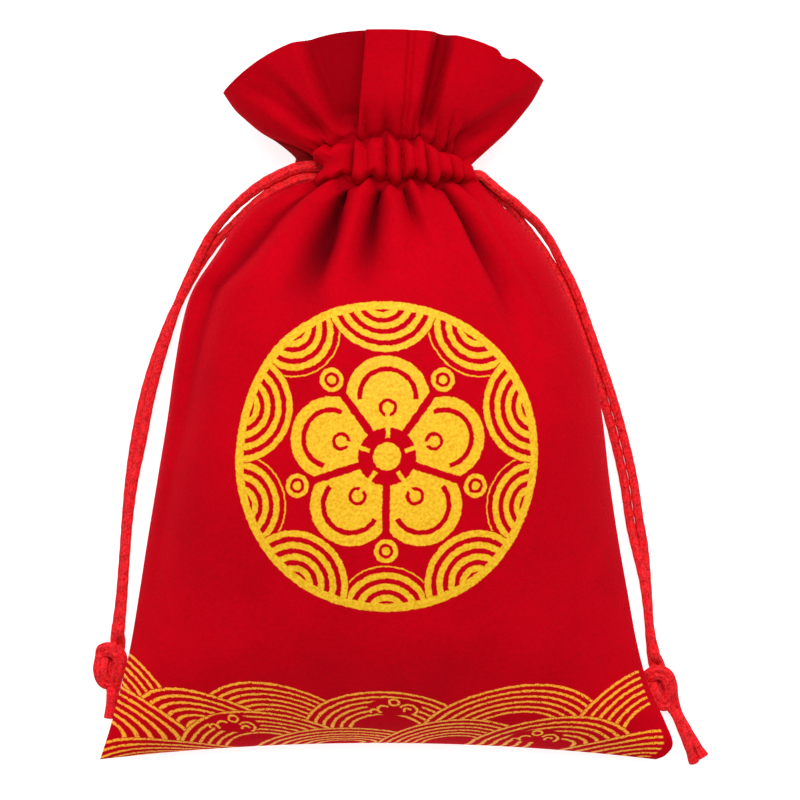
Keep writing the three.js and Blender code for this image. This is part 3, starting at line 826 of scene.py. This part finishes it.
def frames_along(path):
    """Directions across and up a path, square to it and turned so that they twist as little as they can.

    The first guess takes its sideways direction from the floor's plane. The turn of that guess from point to
    point is then added up and taken out.
    """
    ahead = unit(np.gradient(path, axis=0))
    side = unit(np.cross(ahead, NEARLY_UP))
    up = np.cross(side, ahead)
    turn = np.arctan2((side[1:] * up[:-1]).sum(axis=1), (side[1:] * side[:-1]).sum(axis=1))
    twist = -np.concatenate([[0], np.cumsum(turn)])[:, None]
    return side * np.cos(twist) + up * np.sin(twist), up * np.cos(twist) - side * np.sin(twist)


def run_lengths(path):
    """Length along a path at each of its points."""
    return np.concatenate([[0], np.cumsum(np.linalg.norm(np.diff(path, axis=0), axis=1))])


def braided_tube(path, radius, cord, start=0):
    """A round profile carried along a path, with the low diamonds of a braid, closed by flat ends.

    The radius at each angle and length is the strand's, less a share of the braid's height where the product
    of two opposite spirals is low. Returns the points, the faces in blocks, and each corner's places round
    and along the tube.
    """
    side, up = frames_along(path)
    length = run_lengths(path)
    round_angle = np.linspace(0, 2 * np.pi, STRAND_SIDES, endpoint=False)[None]
    phase = 2 * np.pi * length[:, None] / (cord.pitch / MM)
    weave = np.cos(BRAID_TURNS * round_angle + phase) * np.cos(BRAID_TURNS * round_angle - phase)
    width = np.broadcast_to(np.asarray(radius, dtype=float), length.shape)[:, None]
    width = width * (1 - 0.5 * cord.braid * (1 - weave))
    ring = np.cos(round_angle)[..., None] * side[:, None] + np.sin(round_angle)[..., None] * up[:, None]
    points = (path[:, None] + width[..., None] * ring).reshape(-1, 3)
    numbers = start + np.arange(len(points)).reshape(len(path), STRAND_SIDES)
    corners = squares(np.concatenate([numbers, numbers[:, :1]], axis=1))
    column = np.broadcast_to(np.arange(STRAND_SIDES + 1) / STRAND_SIDES, (len(path), STRAND_SIDES + 1))
    row = np.broadcast_to(length[:, None], column.shape)
    corner_of = squares(np.arange(column.size).reshape(column.shape))
    lengths = np.stack([column.ravel()[corner_of], row.ravel()[corner_of]], axis=-1)
    ends = np.stack([numbers[0, ::-1], numbers[-1]])
    end_lengths = np.stack([np.broadcast_to([0.5, at], (STRAND_SIDES, 2)) for at in (length[0], length[-1])])
    return points, [(corners, 0), (ends, 0)], [lengths, end_lengths]


def make_piece(name, points, blocks, uv_blocks, materials):
    """A mesh object at the origin, from points in millimetres and blocks of faces with material numbers."""
    faces = [face for corners, material in blocks for face in corners.tolist()]
    mesh = bpy.data.meshes.new(name)
    mesh.from_pydata((points * MM).tolist(), [], faces)
    for material in materials:
        mesh.materials.append(material)
    numbers = np.concatenate([np.full(len(corners), material) for corners, material in blocks])
    mesh.polygons.foreach_set("material_index", numbers.astype(np.int32))
    mesh.polygons.foreach_set("use_smooth", np.ones(len(faces), dtype=bool))
    lengths = np.concatenate([block.reshape(-1, 2) for block in uv_blocks])
    mesh.uv_layers.new(name="lengths").data.foreach_set("uv", lengths.astype(np.float32).ravel())
    mesh.update()
    piece = bpy.data.objects.new(name, mesh)
    bpy.context.scene.collection.objects.link(piece)
    return piece


def pair_middle(route):
    """A fine middle line of a pair of strands, with the pair's turn and half its spacing at each point."""
    place = np.linspace(0, len(route["x"]) - 1, (len(route["x"]) - 1) * STRAND_STEPS + 1)
    x, y, lift, twist, spacing = (along(route[name], place) for name in STRAND_COLUMNS.split())
    return np.stack([x, y, lift], axis=1), np.radians(twist), spacing / 2


def strand_path(route, sign, radius):
    """Middle line of one strand: the pair's middle, raised clear of the floor, and half the spacing aside."""
    middle, twist, half = pair_middle(route)
    middle[:, 2] = np.maximum(middle[:, 2], 0) + FLOOR_CLEAR + radius + half * np.abs(np.sin(twist))
    ahead = np.gradient(middle[:, :2], axis=0)
    lateral = unit(np.stack([-ahead[:, 1], ahead[:, 0], 0 * twist], axis=1))
    offset = np.cos(twist)[:, None] * lateral + np.sin(twist)[:, None] * [0, 0, 1]
    return middle + sign * half[:, None] * offset


def knot_paths(knot, radius, entries):
    """Middle lines of the two strands in a knot, from their entries through its turns into the tails.

    Each strand runs half the gap beside the knot's middle line, in the floor's plane. In the tails one strand
    starts above the other and sinks as they spread.
    """
    heading = np.radians(knot["heading"])
    ahead = np.array([np.cos(heading), np.sin(heading), 0])
    across = np.array([-ahead[1], ahead[0], 0])
    core = along(KNOT_PATH, np.linspace(0, len(KNOT_PATH) - 1, (len(KNOT_PATH) - 1) * KNOT_STEPS + 1))
    beside = unit(np.cross([0, 0, 1], np.gradient(core, axis=0)))
    centre = np.array([knot["x"], knot["y"], FLOOR_CLEAR])
    axes = np.stack([across, ahead, [0, 0, 1]])
    turned_over = np.sign((entries[0][-1] - entries[1][-1]) @ (beside[0] @ axes))
    tail_side = np.sign(beside[-1, 0])
    steps = np.linspace(TAIL_START, 1, TAIL_POINTS)[:, None]
    reach = KNOT_PATH[-1, 1] + steps * (knot["tail"] - KNOT_PATH[-1, 1])
    apart = TAIL_GAP + (knot["spread"] - TAIL_GAP) * steps**TAIL_SPREAD_POWER
    above = np.sqrt(np.maximum((2 * radius) ** 2 - apart**2, 0))
    paths = []
    for strand, entry in zip((1, -1), entries):
        strand_side = strand * turned_over
        turns = centre + (core + strand_side * KNOT_STRAND_GAP / 2 * beside) @ axes
        aside = KNOT_PATH[-1, 0] + strand_side * tail_side * apart / 2
        height = radius + above * (strand_side > 0)
        tail = centre + aside * across + reach * ahead + height * [0, 0, 1]
        points = np.concatenate([entry[KNOT_ENTRY], turns[:: KNOT_STEPS // 2], tail])
        paths.append(along(points, np.linspace(0, len(points) - 1, (len(points) - 1) * KNOT_STEPS + 1)))
    return paths


# Materials


class Wire:
    """A shader value in a Python expression: arithmetic on it adds Math nodes to its tree."""

    def __init__(self, tree, socket=None):
        self.tree = tree
        self.socket = socket

    def node(self, kind, settings=None, sockets=None, output=0):
        """A new node of this kind, its settings first and then the values or links of its sockets."""
        made = self.tree.nodes.new(kind)
        for name, value in (settings or {}).items():
            setattr(made, name, value)
        for name, value in (sockets or {}).items():
            if isinstance(value, Wire):
                self.tree.links.new(value.socket, made.inputs[name])
            else:
                made.inputs[name].default_value = value
        return Wire(self.tree, made.outputs[output])

    def math(self, operation, *others, clamp=False):
        """A Math node with this value first."""
        settings = {"operation": operation, "use_clamp": clamp}
        return self.node("ShaderNodeMath", settings, dict(enumerate((self, *others))))

    def number_first(self, operation, number):
        """A Math node with a plain number first and this value second."""
        return self.node("ShaderNodeMath", {"operation": operation}, {0: number, 1: self})

    def __add__(self, other):
        return self.math("ADD", other)

    def __sub__(self, other):
        return self.math("SUBTRACT", other)

    def __mul__(self, other):
        return self.math("MULTIPLY", other)

    def __truediv__(self, other):
        return self.math("DIVIDE", other)

    def __radd__(self, number):
        return self.number_first("ADD", number)

    def __rsub__(self, number):
        return self.number_first("SUBTRACT", number)

    def __rmul__(self, number):
        return self.number_first("MULTIPLY", number)

    def __abs__(self):
        return self.math("ABSOLUTE")

    def inside(self, soft):
        """1 where the value is above 0, with an edge of the given softness."""
        return (self / soft).math("ADD", 0.5, clamp=True)

    def clamped(self):
        """The value, held between 0 and 1."""
        return self.math("ADD", 0.0, clamp=True)

    def mix(self, first, second):
        """The first colour where this value is 0, the second where it is 1."""
        sockets = {0: self, 6: first, 7: second}
        return self.node("ShaderNodeMix", {"data_type": "RGBA"}, sockets, output=2)


def opaque(color):
    """A colour with full opacity."""
    return (*color, 1.0)


def distance(x, y):
    """Length of the vector (x, y)."""
    return (x * x + y * y).math("SQRT")


def new_material(name):
    """A material without nodes, and a wire to start its nodes from."""
    material = bpy.data.materials.new(name)
    material.use_nodes = True
    material.node_tree.nodes.clear()
    return material, Wire(material.node_tree)


def show(shader):
    """Makes a shader the surface of its material."""
    made = shader.tree.nodes.new("ShaderNodeOutputMaterial")
    shader.tree.links.new(shader.socket, made.inputs["Surface"])


def cloth_place(start):
    """Lengths across and up the cloth in millimetres, from the piece's own map."""
    place = start.node("ShaderNodeUVMap", {"uv_map": "lengths"})
    across = place.node("ShaderNodeSeparateXYZ", None, {0: place}, output=0)
    up = place.node("ShaderNodeSeparateXYZ", None, {0: place}, output=1)
    return across, up


def own_number(start, name):
    """A number that the piece's mesh carries at each of its points."""
    return start.node("ShaderNodeAttribute", {"attribute_name": name}, output=2)


def grain(start, size, detail=2.0, output=0):
    """Cloudy noise whose patches are about size millimetres wide, from 0 to 1."""
    place = start.node("ShaderNodeTexCoord", output=3)
    sockets = {"Vector": place, "Scale": 1 / (size * MM), "Detail": detail, "Roughness": 0.55}
    return start.node("ShaderNodeTexNoise", None, sockets, output=output)


def velvet_shader(start, cloth):
    """Short pile: grain in the bump, leaning patches in the colour, painted shade in the folds and a sheen at
    the edges.
    """
    patches = grain(start, VELVET["patches"], 3.0)
    flecks = grain(start, VELVET["flecks"], 2.0)
    lean = (patches * VELVET["patch_weight"] - VELVET["base"]) + (flecks - 0.5) * VELVET["fleck_weight"]
    color = lean.clamped().mix(opaque(cloth.deep_color), opaque(cloth.color))
    # Painted shade: the colour darkens towards the fold shade colour where a fold is deep.
    color = own_number(start, "painted_fold_shade").mix(color, opaque(cloth.fold_shade_color))
    pile = grain(start, VELVET["pile"], 3.0)
    bump = start.node("ShaderNodeBump", None, {"Strength": 0.22, "Distance": 0.0004, "Height": pile})
    return start.node(
        "ShaderNodeBsdfPrincipled",
        None,
        {
            "Base Color": color,
            "Roughness": 0.85 + 0.1 * (flecks - 0.5),
            "Specular IOR Level": 0.02,
            "Sheen Weight": cloth.sheen,
            "Sheen Roughness": 0.32,
            "Sheen Tint": (1.0, 0.0, 0.03, 1.0),
            "Normal": bump,
        },
    )


def medallion_lines(x, y, radius):
    """A round medallion: a ring, scallops of nested arcs in it, and a blossom with pearls between its petals.

    The plane is folded into one equal sector for each petal, and mirrored in each, so one petal, two scallops
    and a pearl draw the whole.
    """
    part = MEDALLION
    sector = 2 * np.pi / PETALS
    soft = 0.16
    reach = distance(x, y)
    turn = y.math("ARCTAN2", x) + (2 * np.pi - np.pi / 2 + sector / 2)
    turn = abs(turn.math("FLOORED_MODULO", sector) - sector / 2)
    out = reach * turn.math("COSINE")
    aside = reach * turn.math("SINE")

    ring = (part["ring_half"] - abs(reach - radius)).inside(soft)

    def scallop(centre_turn, size):
        """Nested arcs about a middle on the ring, and the disc that they fill."""
        centre = part["scallop_out"] * radius
        span = distance(out - centre * np.cos(centre_turn), aside - centre * np.sin(centre_turn))
        step = (span + part["arc_start"]).math("FLOORED_MODULO", part["arc_step"])
        arcs = (part["arc_half"] - abs(step - part["arc_step"] / 2)).inside(soft)
        return arcs, (size - span).inside(soft)

    near_arcs, near = scallop(0.0, part["near_scallop"])
    far_arcs, far = scallop(sector / 2, part["far_scallop"])
    scallops = near_arcs * near + far_arcs * far * (1 - near)
    scallops = scallops * (radius - reach).inside(soft)

    petal_out = distance(out - part["petal_out"], aside)
    petal = (part["petal"] - petal_out).inside(soft)
    border = (reach * (sector / 2 - turn).math("SINE") - part["petal_gap"]).inside(soft)
    vein = (part["vein_half"] - abs(petal_out - part["vein"])).inside(soft)
    vein = 1 - vein * (out - part["vein_start"]).inside(soft)
    eye = 1 - (part["eye"] - reach).inside(soft)
    stamens = (part["stamen_half"] - aside).inside(soft) * (reach - part["stamen_start"]).inside(soft)
    stamens = stamens * (part["dot_out"] - reach).inside(soft)
    dot_span = distance(out - part["dot_out"], aside)
    dots = (part["dot"] - dot_span).inside(soft)
    petal = petal * border * vein * eye * (1 - (part["dot_clear"] - dot_span).inside(soft))
    heart = (part["heart"] - reach).inside(soft)
    pearl_x = part["pearl_out"] * np.cos(sector / 2)
    pearl_y = part["pearl_out"] * np.sin(sector / 2)
    pearl_span = distance(out - pearl_x, aside - pearl_y)
    pearl = (part["pearl_line"] - abs(pearl_span - part["pearl_ring"])).inside(soft)
    pearl = pearl + (part["pearl"] - pearl_span).inside(soft)
    inner = petal + stamens + dots + heart + pearl
    return ring.math("MAXIMUM", scallops).math("MAXIMUM", inner)


def wave_lines(across, up):
    """A band of overlapping hills along the bottom seam, each a half ellipse edged by a few nested arcs.

    Each hill of the table first clears what is behind it, and so does each spray: a pearl over open curls.
    """
    soft = 0.14
    lines = 0.0
    for middle, top, wide, high in zip(*WAVE_HILLS.values()):
        span = distance((across - middle) / wide, (up - (top - high)).math("MAXIMUM", 0.0) / high)
        inside = (1 - span) * high
        hill = inside.inside(soft)
        arcs = (WAVE_LINE / 2 - abs(inside.math("FLOORED_MODULO", WAVE_STEP) - WAVE_FIRST)).inside(soft)
        arcs = arcs * (WAVE_ARCS * WAVE_STEP - inside).inside(soft)
        lines = hill * arcs + lines * (1 - hill)
    for middle, top in zip(*WAVE_SPRAYS.values()):
        x = across - middle
        y = up - top
        cleared = distance(x / SPRAY_CLEAR["wide"], (y + SPRAY_CLEAR["below"]) / SPRAY_CLEAR["high"])
        clear = (1 - cleared).inside(SPRAY_CLEAR["soft"])
        motif = (WAVE_LINE / 2 - abs(distance(x, y) - SPRAY_PEARL)).inside(soft)
        for beside, below, size, lean in zip(*SPRAY_CURLS.values()):
            curl_x = x - beside
            curl_y = y - below
            line = (WAVE_LINE / 2 - abs(distance(curl_x, curl_y) - size)).inside(soft)
            motif = motif.math("MAXIMUM", line * (curl_y + curl_x * lean + CURL_CLOSED * size).inside(soft))
        lines = lines * (1 - clear) + motif
    return lines


def printed_velvet(cloth, gold, middle):
    """Velvet with the medallion and the wave band printed on it in gold, a little ragged at the edges."""
    material, start = new_material("printed_velvet")
    across, up = cloth_place(start)
    crooked = grain(start, RAGGED["size"], 2.0, output=1)
    stray_x, stray_y = (
        (start.node("ShaderNodeSeparateColor", None, {0: crooked}, output=axis) - 0.5) * RAGGED["stray"]
        for axis in (0, 1)
    )
    across = across + stray_x
    up = up + stray_y
    level = own_number(start, "level") + stray_y
    medallion = medallion_lines(across - middle[0], level - middle[1], gold.medallion_radius / MM)
    before_seam = (own_number(start, "margin") - WAVE_MARGIN).inside(WAVE_MARGIN_SOFT)
    waves = wave_lines(across, up) * before_seam
    holes = (grain(start, HOLES["size"], 1.0) - HOLES["level"]).inside(HOLES["soft"])
    mask = medallion.math("MAXIMUM", waves * holes)
    pits = grain(start, PITS["size"], 3.0)
    tone = ((pits - 0.5) * PITS["contrast"] + 0.5).clamped()
    color = medallion.mix(opaque(gold.wave_gold), opaque(gold.gold))
    dull = medallion.mix(opaque(gold.dull_wave_gold), opaque(gold.dull_gold))
    color = tone.mix(dull, color)
    bump = start.node("ShaderNodeBump", None, {"Strength": 0.3, "Distance": 0.0003, "Height": pits})
    roughness = 0.55 + 0.2 * (pits - 0.5)
    sockets = {"Base Color": color, "Roughness": roughness, "Specular IOR Level": 0.15, "Normal": bump}
    ink = start.node("ShaderNodeBsdfPrincipled", None, sockets)
    pile = velvet_shader(start, cloth)
    show(start.node("ShaderNodeMixShader", None, {0: mask, 1: pile, 2: ink}))
    return material


def plain_velvet(cloth):
    """Velvet without print."""
    material, start = new_material("plain_velvet")
    show(velvet_shader(start, cloth))
    return material


def cloth_back(cloth):
    """The knitted back of the velvet: fine ribs along the cloth, duller than the pile."""
    material, start = new_material("cloth_back")
    across, up = cloth_place(start)
    ribs = (across * (2 * np.pi / KNIT["rib"])).math("SINE") * 0.5 + 0.5
    rows = (up * (2 * np.pi / KNIT["row"])).math("SINE") * 0.5 + 0.5
    knit = ribs * rows
    shade = [KNIT["shade"] * part for part in cloth.deep_color]
    color = knit.mix(opaque(shade), opaque(cloth.deep_color))
    bump = start.node("ShaderNodeBump", None, {"Strength": 0.4, "Distance": 0.0003, "Height": knit})
    sockets = {"Base Color": color, "Roughness": 0.8 + 0.1 * knit, "Specular IOR Level": 0.2, "Normal": bump}
    show(start.node("ShaderNodeBsdfPrincipled", None, sockets))
    return material


def braided_satin(cord):
    """Satin braid: two sets of spirals that cross in diamonds, with painted highlights on bright flecks and
    threads, and painted shade in the low parts of the weave mixed with random flecks.
    """
    material, start = new_material("braided_satin")
    around, length = cloth_place(start)
    turns = BRAID_TURNS * 2 * np.pi
    phase = length * (2 * np.pi / (cord.pitch / MM))
    weave = (around * turns + phase).math("COSINE") * (around * turns - phase).math("COSINE")
    thread = (around * (THREADS["count"] * turns) + phase * THREADS["lead"]).math("SINE") * 0.5 + 0.5
    height = weave * 0.5 + 0.5 + thread * THREADS["height"]
    flecks = grain(start, SATIN["flecks"], 2.0)
    # Painted shade in the low parts of the weave, mixed with random flecks.
    light = weave * SATIN["weave_weight"] + SATIN["base"] + (flecks - 0.5) * SATIN["fleck_weight"]
    color = light.clamped().mix(opaque(cord.deep_color), opaque(cord.color))
    # Painted highlight: glints where flecks and threads are brightest.
    painted_glints = flecks * PAINTED_GLINTS["fleck_share"] + thread * PAINTED_GLINTS["thread_share"]
    painted_glints = (painted_glints - PAINTED_GLINTS["level"]).inside(PAINTED_GLINTS["soft"])
    color = (painted_glints * PAINTED_GLINTS["weight"]).mix(color, opaque(cord.painted_glint_color))
    bump = start.node("ShaderNodeBump", None, {"Strength": 0.5, "Distance": 0.0003, "Height": height})
    sockets = {
        "Base Color": color,
        "Roughness": 0.5 + 0.14 * flecks,
        "Specular IOR Level": 0.03,
        "Normal": bump,
    }
    show(start.node("ShaderNodeBsdfPrincipled", None, sockets))
    return material


def floor_finish(color):
    """A matte pale floor with a hardly visible grain."""
    material, start = new_material("pale_floor")
    tone = grain(start, FLOOR_GRAIN, 2.0)
    shade = (tone * 0.5).mix(opaque(color), opaque([FLOOR_SHADE * part for part in color]))
    sockets = {"Base Color": shade, "Roughness": 0.9, "Specular IOR Level": 0.1}
    glow = {"Emission Color": (1.0, 1.0, 1.0, 1.0), "Emission Strength": 0.8}
    show(start.node("ShaderNodeBsdfPrincipled", None, sockets | glow))
    return material


# Operators


class POUCH_OT_stage(Operator):
    """Sets up the camera of the photograph, a pale floor and soft light"""

    bl_idname = "pouch.stage"
    bl_label = "Stage"

    def execute(self, context):
        stage = context.scene.pouch_stage
        lens = bpy.data.cameras.new("camera")
        lens.lens = stage.lens
        lens.sensor_width = SENSOR_WIDTH
        lens.clip_start = NEAREST
        camera = bpy.data.objects.new("camera", lens)
        camera.location = stage.camera
        context.scene.collection.objects.link(camera)
        context.scene.camera = camera

        sides = ((-1, -1), (1, -1), (1, 1), (-1, 1))
        corners = np.array([(FLOOR_HALF * x, FLOOR_HALF * y, FLOOR_LEVEL) for x, y in sides])
        blocks = [(np.array([[0, 1, 2, 3]]), 0)]
        finish = floor_finish(stage.floor_color)
        floor = make_piece("floor", corners, blocks, [corners[None, :, :2]], [finish])

        key = bpy.data.lights.new("key", "AREA")
        key.energy = stage.key
        key.size = stage.key_size
        lamp = bpy.data.objects.new("key", key)
        lamp.location = stage.key_place
        lamp.rotation_euler = stage.key_turn
        context.scene.collection.objects.link(lamp)

        world = bpy.data.worlds.new("studio")
        world.use_nodes = True
        world.node_tree.nodes["Background"].inputs["Color"].default_value = (1.0, 1.0, 1.0, 1.0)
        world.node_tree.nodes["Background"].inputs["Strength"].default_value = stage.sky
        context.scene.world = world
        context.scene.view_settings.view_transform = "Standard"
        return {"FINISHED"}


class POUCH_OT_drawstrings(Operator):
    """Lays out the two drawstrings: a loop in the channel, two strands and a knot on each side"""

    bl_idname = "pouch.drawstrings"
    bl_label = "Drawstrings"

    def execute(self, context):
        cord = context.scene.pouch_cord
        satin = braided_satin(cord)
        radius = cord.diameter / MM / 2
        sides = (
            ("left", -1, LEFT_ROUTE, LEFT_CORD_Y, LEFT_SLIT),
            ("right", 1, RIGHT_ROUTE, RIGHT_CORD_Y, RIGHT_SLIT),
        )
        for side, sign, route, cord_y, slit in sides:
            paths = [strand_path(route, strand, radius) for strand in (1, -1)]
            knot = self.tie(side, radius, paths, cord, satin)
            self.thread(side, sign, radius, cord_y, paths, cord, satin)
            for name, path, on_it in (("a", paths[0], [knot]), ("b", paths[1], [])):
                drawn_in = ramp((run_lengths(path) - LOOSE_LENGTH) / LOOSE_LENGTH)
                loose = 1 + LOOSE_BRAID[side] * (1 - drawn_in)
                points, blocks, lengths = braided_tube(path, radius * loose, cord)
                strand = make_piece(f"{side}_strand_{name}", points, blocks, lengths, [satin])
                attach(strand, "root")
                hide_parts(f"{side}_cord_{name}")
                slit[0] * MM
                slit[1] * MM
                SECTIONS["seam"][LOWER_STITCH_ROW] * MM
                (path * MM).tolist()
        return {"FINISHED"}

    def tie(self, side, radius, entries, cord, satin):
        """The overhand knot in both strands of one side, with its tails."""
        points, blocks, lengths = [], [], []
        count = 0
        for path in knot_paths(KNOTS[side], radius, entries):
            run = run_lengths(path)
            flare = 1 + TAIL_FLARE * ramp((run - run[-1] + TAIL_FLARE_LENGTH) / TAIL_FLARE_LENGTH)
            made, faces, rows = braided_tube(path, KNOT_TIGHT * radius * flare, cord, count)
            points.append(made)
            blocks.extend(faces)
            lengths.extend(rows)
            count += len(made)
        knot = make_piece(f"{side}_tied_knot", np.concatenate(points), blocks, lengths, [satin])
        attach(knot, "root")
        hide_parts(f"{side}_knot")
        return knot

    def thread(self, side, sign, radius, cord_y, strands, cord, satin):
        """The hidden loop of one drawstring: most of an ellipse in the neck, with both ends in the slit."""
        rows = section_rows()[1]
        row = int(np.argmin(np.abs(rows["y"] - cord_y)))
        wide = rows["half"][row, 0] - LOOP_INSET
        high = rows["front"][row, 0] - LOOP_INSET
        turn = np.radians(np.linspace(LOOP_START, 360 - LOOP_START, LOOP_POINTS))
        ring = np.stack([sign * wide * np.cos(turn), 0 * turn, high * np.sin(turn)], axis=1)
        ring = ring + [rows["middle"][row, 0], cord_y, rows["seam"][row, 0]]
        gap = np.array([sign * LOOP_GAP, 0, 0])
        path = np.concatenate([[strands[0][0] - gap], ring, [strands[1][0] - gap]])
        path = along(path, np.linspace(0, len(path) - 1, LOOP_STEPS * len(path)))
        points, blocks, lengths = braided_tube(path, radius, cord)
        loop = make_piece(f"{side}_channel_loop", points, blocks, lengths, [satin])
        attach(loop, "root")
        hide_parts(f"{side}_cord_loop")


class POUCH_OT_back_panel(Operator):
    """Makes the plain back panel, flat where the pouch lies on it"""

    bl_idname = "pouch.back_panel"
    bl_label = "Back panel"

    def execute(self, context):
        cloth = context.scene.pouch_cloth
        plain = plain_velvet(cloth)
        finishes = [plain, plain, cloth_back(cloth)]
        folds = (BACK_CHANNEL, BACK_FOLDS, BACK_FRILL)
        panel = panel_mesh("velvet_back", -1, BACK_COLUMNS, cloth, folds, finishes)[0]
        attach(panel, "root")
        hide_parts("back_panel")
        return {"FINISHED"}


class POUCH_OT_front_panel(Operator):
    """Makes the front panel with its gathers and its gold print"""

    bl_idname = "pouch.front_panel"
    bl_label = "Front panel"

    def execute(self, context):
        cloth = context.scene.pouch_cloth
        gold = context.scene.pouch_print
        plain = bpy.data.materials["plain_velvet"]
        finishes = [plain, plain, bpy.data.materials["cloth_back"]]
        folds = (FRONT_CHANNEL, FRONT_FOLDS, FRONT_FRILL)
        panel, outer, lengths = panel_mesh("velvet_front", 1, FRONT_COLUMNS, cloth, folds, finishes)
        centre = FRONT_COLUMNS // 2
        up = np.interp(gold.medallion_y / MM, outer[:, centre, 1], lengths[:, centre, 1])
        panel.data.materials[0] = printed_velvet(cloth, gold, (gold.medallion_x / MM, float(up)))
        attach(panel, "root")
        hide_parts("front_panel")
        return {"FINISHED"}


OPERATORS = (POUCH_OT_stage, POUCH_OT_drawstrings, POUCH_OT_back_panel, POUCH_OT_front_panel)
GROUPS = {
    "pouch_cloth": PouchCloth,
    "pouch_print": PouchPrint,
    "pouch_cord": PouchCord,
    "pouch_stage": PouchStage,
}


class POUCH_PT_pieces(Panel):
    """Lists the pieces of the pouch"""

    bl_label = "Drawstring pouch"
    bl_idname = "POUCH_PT_pieces"
    bl_space_type = "VIEW_3D"
    bl_region_type = "UI"
    bl_category = "Pouch"

    def draw(self, context):
        for operator in OPERATORS:
            self.layout.operator(operator.bl_idname)
        for name, group in GROUPS.items():
            box = self.layout.box()
            for setting in group.__annotations__:
                box.prop(getattr(context.scene, name), setting)


def register():
    """Registers the settings, the operators and the panel."""
    for name, group in GROUPS.items():
        bpy.utils.register_class(group)
        setattr(bpy.types.Scene, name, PointerProperty(type=group))
    for kind in (*OPERATORS, POUCH_PT_pieces):
        bpy.utils.register_class(kind)


def unregister():
    """Takes out what register put in."""
    for kind in reversed((*OPERATORS, POUCH_PT_pieces)):
        bpy.utils.unregister_class(kind)
    for name, group in GROUPS.items():
        delattr(bpy.types.Scene, name)
        bpy.utils.unregister_class(group)


def main():
    """Builds the stage and the pouch."""
    register()
    bpy.ops.pouch.stage()
    bpy.ops.pouch.drawstrings()
    bpy.ops.pouch.back_panel()
    bpy.ops.pouch.front_panel()


if __name__ == "__main__":
    main()
